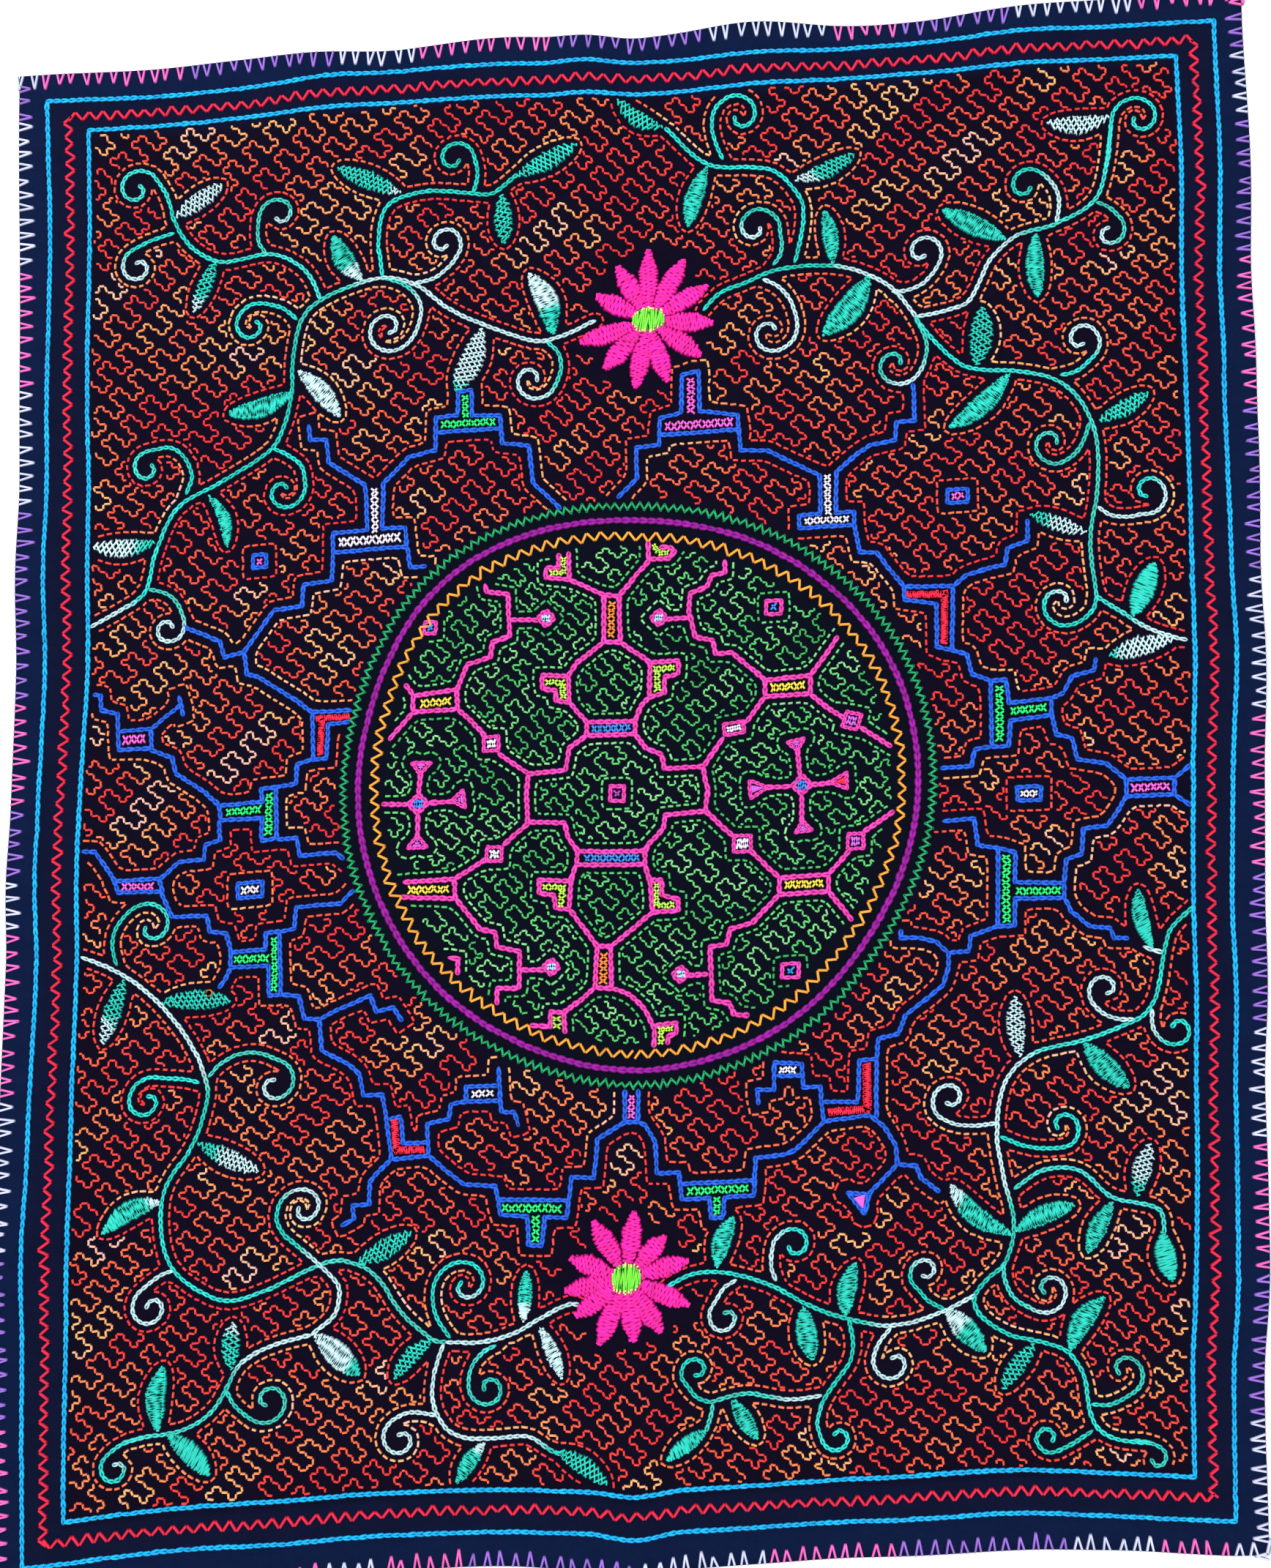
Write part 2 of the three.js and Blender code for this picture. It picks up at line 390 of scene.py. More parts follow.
def sewn(stitch, start, end, width, height, dye_and_painted_light, rise=0.0):
    """One copy of a stitch from each start to each end on the flat cloth, as arrays ready to be joined."""
    start, end = np.asarray(start, float), np.asarray(end, float)
    count = len(start)
    run = end - start
    length = np.hypot(run[:, 0], run[:, 1])
    run = run / length[:, None]
    side = np.c_[-run[:, 1], run[:, 0]]
    points = stitch["points"]
    width = np.broadcast_to(width, count)[:, None]
    height = np.broadcast_to(height, count)[:, None]
    forward = points[None, :, 0] * length[:, None]
    sideways = points[None, :, 1] * width
    x = start[:, None, 0] + run[:, None, 0] * forward + side[:, None, 0] * sideways
    y = start[:, None, 1] + run[:, None, 1] * forward + side[:, None, 1] * sideways
    z = points[None, :, 2] * height + np.broadcast_to(rise, count)[:, None]
    lay = np.stack([stitch["lay"][None, :, 0] * length[:, None], stitch["lay"][None, :, 1] * width], axis=-1)
    lay[..., 0] += rng.uniform(0, 9, count)[:, None]
    dye_and_painted_light = np.broadcast_to(dye_and_painted_light, (count, 3))[:, None, :]
    # The yarn colour takes each point's painted shade, darker low down, and painted highlight, paler on top.
    dye_and_painted_light = dye_and_painted_light * stitch["shade"][None, :, None] + stitch["gloss_and_painted_highlight"][None, :, None]
    return {
        "xyz": np.stack([x, y, z], axis=-1).reshape(-1, 3),
        "lay": lay.reshape(-1, 2),
        "dye_and_painted_light": dye_and_painted_light.reshape(-1, 3),
        "faces": stitch["faces"],
        "points_each": len(points),
        "count": count,
    }


def joined(name, parts, material):
    """The stitches of one piece joined into one mesh on the spread-out cloth."""
    xyz = np.concatenate([part["xyz"] for part in parts])
    corners, sizes, first = [], [], 0
    for part in parts:
        offsets = first + np.arange(part["count"]) * part["points_each"]
        flat = np.concatenate([np.array(face) for face in part["faces"]])
        corners.append((offsets[:, None] + flat[None, :]).ravel())
        sizes.append(np.tile([len(face) for face in part["faces"]], part["count"]))
        first += part["count"] * part["points_each"]
    corners, sizes = np.concatenate(corners), np.concatenate(sizes)
    mesh = bpy.data.meshes.new(name)
    mesh.vertices.add(len(xyz))
    mesh.vertices.foreach_set("co", on_cloth(xyz[:, 0], xyz[:, 1], xyz[:, 2]).ravel())
    mesh.loops.add(len(corners))
    mesh.loops.foreach_set("vertex_index", corners.astype(np.int32))
    mesh.polygons.add(len(sizes))
    mesh.polygons.foreach_set("loop_start", np.r_[0, np.cumsum(sizes)[:-1]].astype(np.int32))
    mesh.update(calc_edges=True)
    mesh.shade_smooth()
    # The colour attribute holds each stitch's yarn colour with its painted shade and painted highlight.
    dye_and_painted_light = mesh.attributes.new("dye_and_painted_light", "FLOAT_COLOR", "POINT")
    colours = np.concatenate([part["dye_and_painted_light"] for part in parts])
    dye_and_painted_light.data.foreach_set("color", np.c_[colours, np.ones(len(colours))].ravel())
    lay = mesh.attributes.new("lay", "FLOAT_VECTOR", "POINT")
    places = np.concatenate([part["lay"] for part in parts])
    lay.data.foreach_set("vector", np.c_[places, np.zeros(len(places))].ravel())
    mesh.validate()
    mesh.materials.append(material)
    piece = bpy.data.objects.new(name, mesh)
    bpy.context.collection.objects.link(piece)
    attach(piece, "root")
    return piece


def ply_twist():
    """Twisted plies along a strand: their height, and a painted-shade factor that darkens the colour in the
    grooves between them.
    """
    outputs = {"Height": "NodeSocketFloat", "painted_groove_shade": "NodeSocketFloat"}
    group = node_group("ply_twist", {"Ply mm": 0.8}, outputs)
    inlet = group.nodes.new("NodeGroupInput")
    outlet = group.nodes.new("NodeGroupOutput")
    lay = add(group, "ShaderNodeAttribute", attribute_name="lay")
    axes = group.nodes.new("ShaderNodeSeparateXYZ")
    group.links.new(lay.outputs["Vector"], axes.inputs[0])
    slant = math_node(group, "ADD", axes.outputs["X"], axes.outputs["Y"])
    turns = math_node(group, "DIVIDE", slant, inlet.outputs["Ply mm"])
    wave = math_node(group, "SINE", math_node(group, "MULTIPLY", turns, 2 * math.pi))
    crown = math_node(group, "ADD", math_node(group, "MULTIPLY", wave, 0.5), 0.5)
    group.links.new(crown, outlet.inputs["Height"])
    # Painted shade: the colour is darkened to three quarters in the grooves between the plies and lightened a
    # little on their crowns.
    painted_groove_darkening = math_node(group, "ADD", math_node(group, "MULTIPLY", crown, 0.3), 0.75)
    group.links.new(painted_groove_darkening, outlet.inputs["painted_groove_shade"])
    return group


PLY_TWIST = ply_twist()


def yarn(name, ply_mm, roughness, gloss_and_painted_highlight):
    """Embroidery yarn: the colour the stitch carries, with painted shade in the grooves between its plies,
    and a soft specular layer.
    """
    material = bpy.data.materials.new(name)
    material.use_nodes = True
    tree = material.node_tree
    shader = tree.nodes["Principled BSDF"]
    shader.inputs["Roughness"].default_value = roughness
    shader.inputs["Specular IOR Level"].default_value = gloss_and_painted_highlight
    dye_and_painted_light = add(tree, "ShaderNodeAttribute", attribute_name="dye_and_painted_light")
    twist = tree.nodes.new("ShaderNodeGroup")
    twist.node_tree = PLY_TWIST
    twist.inputs["Ply mm"].default_value = ply_mm
    place = tree.nodes.new("ShaderNodeTexCoord")
    fibre = add(tree, "ShaderNodeTexNoise", Scale=2500.0, Detail=2.0)
    tree.links.new(place.outputs["Object"], fibre.inputs["Vector"])
    fuzz = add(tree, "ShaderNodeMapRange", To_Min=0.85, To_Max=1.15)
    tree.links.new(fibre.outputs["Fac"], fuzz.inputs["Value"])
    # Painted groove shade, times a random fuzz in the fibres' tone.
    shade = math_node(tree, "MULTIPLY", twist.outputs["painted_groove_shade"], fuzz.outputs["Result"])
    colour = add(tree, "ShaderNodeVectorMath", operation="SCALE")
    tree.links.new(dye_and_painted_light.outputs["Color"], colour.inputs[0])
    tree.links.new(shade, colour.inputs["Scale"])
    tree.links.new(colour.outputs[0], shader.inputs["Base Color"])
    bump = add(tree, "ShaderNodeBump", Strength=0.6, Distance=0.0003)
    tree.links.new(twist.outputs["Height"], bump.inputs["Height"])
    tree.links.new(bump.outputs["Normal"], shader.inputs["Normal"])
    return material


def walked(points, step):
    """A route on the cloth, re-marked at even steps: each straight run is cut into a whole number of them."""
    points = np.asarray(points, float)
    marks = [points[:1]]
    for start, end in zip(points[:-1], points[1:]):
        count = max(1, round(np.hypot(*(end - start)) / step))
        marks.append(start + (end - start) * (np.arange(1, count + 1) / count)[:, None])
    return np.concatenate(marks)


def evenly(points, step):
    """A smooth route, re-marked at even steps along its whole length."""
    points = np.asarray(points, float)
    run = np.r_[0, np.cumsum(np.hypot(*np.diff(points, axis=0).T))]
    count = max(1, round(run[-1] / step))
    place = np.linspace(0, run[-1], count + 1)
    return np.c_[np.interp(place, run, points[:, 0]), np.interp(place, run, points[:, 1])]


def smooth(points, sub=8):
    """A smooth curve through a few marks."""
    points = np.asarray(points, float)
    share = np.linspace(0, 1, (len(points) - 1) * sub + 1)
    return np.c_[along(points[:, 0], share), along(points[:, 1], share)]


def noisy(values, spread=0.08):
    """Colours with a little of a hand-dyed yarn's unevenness from stitch to stitch."""
    return np.clip(values * rng.normal(1, spread, (len(values), 1)), 0, 1)


def chain(marks, width, height, dye_and_painted_light, link=OPEN_LINK):
    """A chain-stitch line along marks on the cloth. Each link runs on past its mark, under the next one."""
    marks = marks + rng.normal(0, 0.13, marks.shape)
    run = np.diff(marks, axis=0)
    count = len(run)
    dye_and_painted_light = noisy(np.broadcast_to(dye_and_painted_light, (count, 3)))
    widths = width * rng.normal(1, 0.06, count)
    heights = height * rng.normal(1, 0.06, count)
    return sewn(link, marks[:-1] - run * 0.1, marks[1:] + run * 0.32, widths, heights, dye_and_painted_light)


def box(left, right, bottom, top):
    return [(left, bottom), (right, bottom), (right, top), (left, top), (left, bottom)]


FRAME_BLUE = linear(14, 184, 250)
INNER_FRAME = (-331.0, 333.5, -420.0, 425.0)
blue_yarn = yarn("sky_blue_yarn", 0.9, 0.5, 0.12)
frame_lines = []
for route in (box(-FRAME_WIDTH / 2, FRAME_WIDTH / 2, -FRAME_LENGTH / 2, FRAME_LENGTH / 2), box(*INNER_FRAME)):
    marks = walked(route, 4.8)
    sway = 0.5 * np.sin(np.arange(len(marks)) / 13)[:, None]
    frame_lines.append(chain(marks + sway, 3.3, 1.1, FRAME_BLUE, TIGHT_LINK))
joined("frame_chains", frame_lines, blue_yarn)

# Red zigzag
# A single zigzag of crimson yarn worked between the two blue lines, one slanting stitch after another.
# Each side of the frame has a zigzag of its own, sewn through the cotton from corner to corner.
ZIGZAG_RED = linear(222, 22, 62)


def zigzag(route, pitch, depth, dye_and_painted_light, width=1.9, height=0.9, crossing=0.03):
    """A zigzag of single stitches along a route. Each may run past its turn and cross the next."""
    marks = evenly(route, pitch / 2)
    run = np.gradient(marks, axis=0)
    run /= np.hypot(*run.T)[:, None]
    side = np.c_[-run[:, 1], run[:, 0]]
    swing = np.where(np.arange(len(marks)) % 2, 0.5, -0.5) * rng.normal(1, 0.14, len(marks))
    marks = marks + side * (swing * depth)[:, None] + rng.normal(0, 0.22, marks.shape)
    dye_and_painted_light = noisy(np.broadcast_to(dye_and_painted_light, (len(marks) - 1, 3)))
    past = np.diff(marks, axis=0) * crossing
    return sewn(RUNNING, marks[:-1] - past, marks[1:] + past, width, height, dye_and_painted_light)


ZIGZAG_SIDES = (
    [(-343.5, -433), (-343.5, 434)],
    [(-343.5, 434), (344, 434)],
    [(344, 434), (344, -432)],
    [(344, -432), (-343.5, -432)],
)
crimson_yarn = yarn("crimson_yarn", 0.7, 0.5, 0.12)
frame_zigzag = [zigzag(route, 8.6, 5.4, ZIGZAG_RED) for route in ZIGZAG_SIDES]
joined("frame_zigzag", frame_zigzag, crimson_yarn)

# Rim stitches
# The raw edge is overcast by hand in shaded yarn. Each stitch goes in 9 mm from the edge and comes back over
# it, so it shows as a narrow V that opens at the rim. The yarn changes between white, pink and purple.
RIM_WHITE = linear(206, 208, 240)
RIM_PINK = linear(248, 104, 190)
RIM_PURPLE = linear(148, 104, 206)
RIM_TONES = {"w": RIM_WHITE, "k": RIM_PINK, "p": RIM_PURPLE}
RIM_PITCH = 8.2
RIM_DEPTH = 9.0
RIM_RUNS = {  # from one place along the side to the next, in millimetres, each with its tone
    "top": ((-380, "w"), (-350, "k"), (-260, "p"), (-172, "w"), (-120, "k"), (-42, "p"), (45, "w"),
            (124, "k"), (164, "p"), (228, "w"), (302, "k"), (375, "w")),
    "right": ((460, "k"), (444, "p"), (418, "w"), (380, "p"), (297, "k"), (205, "p"), (110, "w"), (25, "k"),
              (-65, "p"), (-155, "w"), (-225, "k"), (-295, "p"), (-380, "w"), (-470, "w")),
    "left": ((460, "p"), (425, "w"), (335, "k"), (265, "w"), (185, "p"), (75, "k"), (5, "p"), (-30, "w"),
             (-62, "k"), (-165, "w"), (-250, "p"), (-350, "k"), (-440, "w"), (-470, "w")),
    "bottom": ((-380, "k"), (-175, "w"), (-140, "k"), (-90, "p"), (5, "w"), (85, "k"), (155, "p"), (250, "w"),
               (305, "k"), (345, "w"), (380, "w")),
}


def rim_tone(side, at):
    """The yarn's tone at each place along a side."""
    runs = RIM_RUNS[side]
    places = np.array([place for place, _ in runs], float)
    tones = np.array([RIM_TONES[tone] for _, tone in runs])
    if places[0] > places[-1]:
        places = -places
        at = -at
    index = np.clip(np.searchsorted(places, at, side="right") - 1, 0, len(runs) - 1)
    return tones[index]


def rim_stitches():
    """Every V over the raw edge, side by side."""
    parts = []
    for side in ("top", "bottom", "left", "right"):
        endwise = side in ("top", "bottom")
        span = 365 if endwise else 455
        at = np.arange(-span, span, RIM_PITCH)
        at = at + rng.normal(0, 0.7, len(at))
        share = at / (2 * span) + 0.5
        zero = np.zeros_like(share)
        edge = {
            "top": (share, zero + 1), "bottom": (share, zero),
            "left": (zero, share), "right": (zero + 1, share),
        }
        edge_x, edge_y = to_rim(*edge[side])
        inward = np.array({"top": (0, -1), "bottom": (0, 1), "left": (1, 0), "right": (-1, 0)}[side], float)
        sideways = np.array([-inward[1], inward[0]])
        depth = (RIM_DEPTH * rng.normal(1, 0.1, len(at)))[:, None]
        lean = rng.normal(0, 0.5, len(at))[:, None]
        edge_at = np.c_[edge_x, edge_y] - inward * 0.4
        tip = edge_at + inward * depth + sideways * lean
        tone = noisy(rim_tone(side, at), 0.06)
        for hand in (-1, 1):
            open_by = hand * rng.uniform(1.5, 2.6, len(at))[:, None]
            foot = edge_at + sideways * open_by
            parts.append(sewn(RUNNING, tip, foot, 1.45, 0.85, tone))
    return parts


rim_yarn = yarn("shaded_rim_yarn", 0.8, 0.5, 0.12)
joined("rim_stitches", rim_stitches(), rim_yarn)

# Medallion rings
# Three rings round the medallion: a green zigzag outside, a thick violet chain, and an orange zigzag inside.
# They are yarn sewn by eye, so all three bulge outwards together at the upper left.


def ring(radius, step=1.0):
    """A closed route round the medallion, begun at its foot."""
    turn = np.linspace(-math.pi / 2, 1.5 * math.pi, round(2 * math.pi * radius / step) + 1)
    reach = radius + out_of_round(turn)
    return np.c_[RING_X + reach * np.cos(turn), RING_Y + reach * np.sin(turn)]


RING_GREEN = linear(18, 158, 94)
RING_VIOLET = linear(152, 8, 152)
RING_ORANGE = linear(244, 160, 52)
ring_yarn = yarn("ring_yarn", 0.8, 0.5, 0.12)
green_ring = [zigzag(ring(176.2), 5.0, 3.8, RING_GREEN, 1.5, crossing=0.22)]
joined("ring_green", green_ring, ring_yarn)
violet_ring = [chain(evenly(ring(167.3), 5.2), 4.6, 1.2, RING_VIOLET, SOLID_LINK)]
joined("ring_violet", violet_ring, ring_yarn)
joined("ring_orange", [zigzag(ring(157.8), 8.3, 5.5, RING_ORANGE, 1.7)], ring_yarn)

# Medallion lines
# Angular kené lines in pink chain stitch fill the medallion: steps, bars, crosses and small squares.
# Each route lists the corners that the needle turns at.
MEDALLION_PINK = linear(250, 70, 184)
MEDALLION_ROUTES = (
    [(-52, 131), (-52, 125), (-38, 124), (-38, 140)],
    [(-52, 131), (-44, 131), (-44, 139)],
    [(-38, 124), (-17, 115), (-8, 114), (10, 135), (10, 146)],
    [(10, 136), (23, 136), (26, 140), (23, 143), (18, 143)],
    [(-17, 115), (-17, 86), (-7, 86), (-8, 114)],
    [(-17, 86), (-33, 73), (-38, 65), (-54, 65), (-53, 57), (-45, 56), (-45, 50), (-37, 49)],
    [(-38, 65), (-37, 49), (-26, 37), (-26, 29), (-36, 21), (-38, 8), (-60, 5), (-61, -8), (-60, -24),
     (-38, -24), (-36, -33), (-30, -41)],
    [(-7, 86), (11, 73), (28, 73), (28, 65), (20, 64), (20, 54), (11, 52), (11, 73)],
    [(11, 52), (6, 47), (3, 38), (3, 30), (10, 21), (19, 17), (21, 8), (44, 8), (47, -6), (46, -19),
     (22, -20), (21, -28), (12, -37), (10, -41)],
    [(-26, 37), (3, 38)],
    [(-26, 29), (3, 30)],
    [(-30, -41), (10, -41), (10, -49), (-31, -49), (-30, -41)],
    [(-31, -49), (-34, -59), (-53, -59), (-53, -67), (-44, -68), (-43, -76), (-35, -76), (-34, -59)],
    [(-35, -76), (-18, -98), (-10, -98), (15, -78)],
    [(10, -49), (13, -59), (20, -59), (20, -68), (30, -71), (30, -78), (15, -78), (13, -59)],
    [(-18, -98), (-19, -123), (-9, -123), (-10, -98)],
    [(-19, -123), (-28, -131), (-37, -138), (-45, -138), (-45, -147), (-56, -146)],
    [(-37, -138), (-36, -150)],
    [(-9, -123), (2, -127), (11, -136), (17, -148), (17, -158)],
    [(17, -146), (30, -145), (30, -151), (25, -153), (25, -157)],
    [(-89, 122), (-88, 117), (-75, 115), (-74, 89), (-84, 86), (-85, 77), (-99, 73), (-105, 58)],
    [(-74, 99), (-57, 99)],
    [(56, 133), (56, 125), (48, 124), (45, 117), (35, 114), (34, 102), (38, 87), (49, 84), (50, 76),
     (60, 76), (80, 58)],
    [(34, 99), (21, 99)],
    [(-131, 56), (-105, 58), (-104, 46), (-131, 46), (-131, 56)],
    [(-131, 56), (-136, 63)],
    [(-131, 46), (-144, 31)],
    [(-104, 46), (-95, 38), (-87, 29)],
    [(-79, 18), (-61, 6)],
    [(80, 58), (107, 59), (107, 48), (80, 48), (80, 58)],
    [(107, 59), (123, 81)],
    [(107, 48), (117, 39), (127, 32)],
    [(137, 26), (155, 13)],
    [(80, 48), (70, 34), (66, 32)],
    [(56, 25), (45, 9)],
    [(-135, -57), (-104, -57), (-103, -69), (-135, -66)],
    [(-104, -57), (-85, -46)],
    [(-75, -38), (-60, -25)],
    [(-103, -69), (-88, -88), (-79, -90), (-78, -99), (-64, -102), (-64, -124), (-77, -124), (-77, -133)],
    [(-64, -113), (-50, -113)],
    [(90, -62), (119, -62), (119, -72), (90, -72), (90, -62)],
    [(90, -62), (73, -45)],
    [(63, -36), (46, -19)],
    [(119, -62), (131, -49)],
    [(139, -38), (157, -27)],
    [(119, -72), (133, -90)],
    [(90, -72), (74, -88), (61, -91), (59, -100), (49, -101), (51, -133), (61, -135), (64, -142), (72, -143)],
    [(49, -117), (37, -117)],
    [(-107, -104), (-101, -105), (-101, -114)],
    [(-126, -5), (-125, 8)],
    [(-126, -16), (-126, -31)],
    [(-120, -10), (-105, -10)],
    [(-131, -10), (-147, -9)],
    [(102, -2), (100, 14)],
    [(103, -13), (103, -29)],
    [(97, -7), (82, -7)],
    [(108, -7), (120, -7)],
)
CLEAR_ZONES = []


def keep_clear(route, gap, squarely=False):
    """Notes that the echo line passes a route at a gap, and turns round its corners or squarely past them."""
    CLEAR_ZONES.append((np.array(route, float), gap, squarely))


def chain_routes(routes, step, width, height, dye_and_painted_light, gap):
    """Chain stitch along every route, each noted for the echo line."""
    parts = []
    for route in routes:
        parts.append(chain(walked(route, step), width, height, dye_and_painted_light, TIGHT_LINK))
        keep_clear(route, gap, squarely=True)
    return parts


def diamond(centre, reach):
    x, y = centre
    return [(x - reach, y), (x, y - reach), (x + reach, y), (x, y + reach), (x - reach, y)]


def leaning_box(centre, width, height, lean):
    """The corners of a box turned by a few degrees."""
    corners = np.array([(-1, -1), (1, -1), (1, 1), (-1, 1), (-1, -1)]) * (width / 2, height / 2)
    cos, sin = math.cos(math.radians(lean)), math.sin(math.radians(lean))
    return corners @ np.array([(cos, sin), (-sin, cos)]) + centre


def square(centre, width, height):
    x, y = centre
    return box(x - width / 2, x + width / 2, y - height / 2, y + height / 2)


def headings(start, end):
    """The way from one place to another, and the way to the left of it, each one millimetre long."""
    run = (end - start) / np.hypot(*(end - start))
    return run, np.array([-run[1], run[0]])


def crossed(start, end, width, dye_and_painted_light, pitch=3.5, thick=1.4):
    """A bar filled with a row of cross stitches."""
    start, end = np.array(start, float), np.array(end, float)
    count = max(1, round(np.hypot(*(end - start)) / pitch))
    marks = start + (end - start) * np.linspace(0, 1, count + 1)[:, None]
    side = headings(start, end)[1] * width / 2
    tone = noisy(np.broadcast_to(dye_and_painted_light, (2 * count, 3)))
    starts = np.r_[marks[:-1] - side, marks[:-1] + side]
    finishes = np.r_[marks[1:] + side, marks[1:] - side]
    starts = starts + rng.normal(0, 0.3, starts.shape)
    finishes = finishes + rng.normal(0, 0.3, starts.shape)
    return sewn(RUNNING, starts, finishes, thick, 0.95, tone)


def satin(start, end, width, dye_and_painted_light, pitch=1.1, slant=0.12, thick=1.9):
    """A bar filled solid with close slanting stitches."""
    start, end = np.array(start, float), np.array(end, float)
    count = max(3, round(np.hypot(*(end - start)) / pitch))
    marks = start + (end - start) * np.linspace(0, 1, count)[:, None]
    run, leftward = headings(start, end)
    side = leftward * width / 2
    lean = run * width * slant * np.where(np.arange(count) % 2, 1, -1)[:, None]
    tone = noisy(np.broadcast_to(dye_and_painted_light, (count, 3)))
    jitter = rng.normal(0, 0.2, marks.shape)
    return sewn(RUNNING, marks - side - lean + jitter, marks + side + lean + jitter, thick, 1.0, tone)


def wedge(tip, base, width, dye_and_painted_light):
    """A small triangle of satin stitches, from a point to a wide base."""
    tip, base = np.array(tip, float), np.array(base, float)
    count = max(3, round(np.hypot(*(base - tip)) / 1.05))
    shares = np.linspace(0.15, 1, count)[:, None]
    marks = tip + (base - tip) * shares
    side = headings(tip, base)[1] * width / 2
    tone = noisy(np.broadcast_to(dye_and_painted_light, (count, 3)))
    return sewn(RUNNING, marks - side * shares, marks + side * shares, 1.4, 1.0, tone)


LIME = linear(190, 240, 80)
GOLD = linear(246, 220, 70)
ORANGE = linear(250, 140, 50)
SKY = linear(50, 140, 235)
SNOW = linear(240, 232, 250)
ICE = linear(176, 222, 250)
VIOLET = linear(170, 60, 190)
ORCHID = linear(204, 100, 220)
MEDALLION_GAP = 5.0
MEDALLION_FILLED = (
    ((-50, 128), (-42, 128), 3.4, LIME), ((-41, 127), (-41, 138), 3.4, LIME),
    ((13, 145), (16, 140), 3.4, LIME), ((16, 139.5), (23, 139.5), 3.4, LIME),
    ((-52, 61), (-40, 61), 4.0, LIME), ((-41, 60), (-41, 51), 4.0, LIME),
    ((13, 69), (26, 69), 4.0, LIME), ((15.5, 68), (15.5, 55), 4.6, LIME),
    ((-51, -63), (-37, -63), 3.6, LIME), ((-39.5, -64), (-39.5, -75), 4.0, LIME),
    ((17, -61), (17, -75), 3.6, LIME), ((18, -74.5), (28, -74.5), 3.8, LIME),
    ((19, -149), (28, -148), 3.4, LIME), ((21, -150), (21, -158), 4.0, LIME),
    ((-41, -140), (-41, -148), 5.5, LIME * 0.8),
    ((-12.5, 111), (-12.5, 89), 4.6, ORANGE), ((-14, -102), (-14, -121), 5.0, ORANGE),
    ((-127, 51), (-108, 51.5), 5.0, GOLD), ((83, 53), (104, 53.5), 5.0, GOLD),
    ((-132, -62), (-107, -63), 5.0, GOLD), ((93, -66.5), (116, -67), 5.0, GOLD),
    ((-23, 33), (0, 34), 4.6, SKY), ((-26, -45), (7, -45), 4.6, SKY),
)
MEDALLION_DIAMONDS = (  # centre, reach, what fills it
    ((-52, 100), 4.6, ICE), ((16, 100), 4.6, ICE), ((-45, -111), 4.6, ICE), ((32, -116), 4.6, ICE),
    ((-126, -10), 5.6, SKY), ((103, -7), 5.6, SKY),
)
MEDALLION_KNOBS = (  # centre, width, height, lean, what fills it
    ((-83, 24), 8.8, 8.4, 3, SNOW), ((62, 30), 11.6, 6.8, 7, SNOW), ((-80, -43), 9.0, 8.6, 0, SNOW),
    ((68, -40), 10.2, 9.8, 0, SNOW), ((132, 30), 9.2, 9.2, -15, ORCHID), ((135, -43), 9.2, 9.0, 0, ORCHID),
)
MEDALLION_SQUARES = (
    ((-7, -6), 10, 11, VIOLET), ((85, 102), 11, 10, SKY), ((97, -118), 12, 10, SKY), ((-122, 97), 9, 9, SKY),
)
MEDALLION_TIPS = (  # point, middle of the wide end, width, what fills it
    ((-125.2, 8), (-124.6, 14.8), 11.2, ORCHID), ((-126.2, -29.6), (-126.4, -36.6), 11.6, ORCHID),
    ((-105.6, -9.8), (-98.4, -8.8), 10.8, ORCHID), ((100, 13.8), (99, 20.4), 10.2, ORCHID),
    ((103.6, -28.6), (104, -35), 9.8, ORCHID), ((83, -7), (72.2, -7.6), 10.6, ORCHID),
    ((119.6, -6.6), (129.6, -6), 10.0, linear(244, 40, 70)),
)
medallion = chain_routes(MEDALLION_ROUTES, 4.5, 3.7, 1.0, MEDALLION_PINK, MEDALLION_GAP)
fillings = []
for start, end, width, tone in MEDALLION_FILLED:
    fillings.append(crossed(start, end, width, tone))
    keep_clear((start, end), MEDALLION_GAP - 1)
for centre, reach, tone in MEDALLION_DIAMONDS:
    medallion += chain_routes([diamond(centre, reach)], 4.0, 3.8, 1.0, MEDALLION_PINK, MEDALLION_GAP)
    x, y = centre
    half = reach * 0.5
    fillings.append(crossed((x - half, y), (x + half, y), reach, tone, 2.6, 1.6))
for centre, width, height, lean, tone in MEDALLION_KNOBS:
    corners = leaning_box(centre, width, height, lean)
    medallion += chain_routes([corners], 3.4, 2.8, 1.0, MEDALLION_PINK, MEDALLION_GAP)
    reach = (corners[1] - corners[0]) * (width - 3.4) / width / 2
    fillings.append(crossed(centre - reach, centre + reach, height - 3.4, tone, 2.4, 1.6))
for centre, width, height, tone in MEDALLION_SQUARES:
    outline = square(centre, width - 2, height - 2)
    medallion += chain_routes([outline], 4, 3, 1.0, MEDALLION_PINK, MEDALLION_GAP)
    x, y = centre
    fillings.append(crossed((x - 1.9, y), (x + 1.9, y), 3.8, tone))
for tip, base, width, tone in MEDALLION_TIPS:
    tip, base = np.array(tip), np.array(base)
    run, leftward = headings(tip, base)
    aside = leftward * width / 2
    outline = [tip, base + aside, base - aside, tip]
    medallion += chain_routes([outline], 3.2, 2.8, 1.0, MEDALLION_PINK, MEDALLION_GAP)
    fillings.append(wedge(tip + run * 2.4, base - run * 1.4, width * 0.5, tone))
medallion_yarn = yarn("medallion_yarn", 0.8, 0.5, 0.12)
joined("medallion_lines", medallion, medallion_yarn)
joined("medallion_fillings", fillings, medallion_yarn)

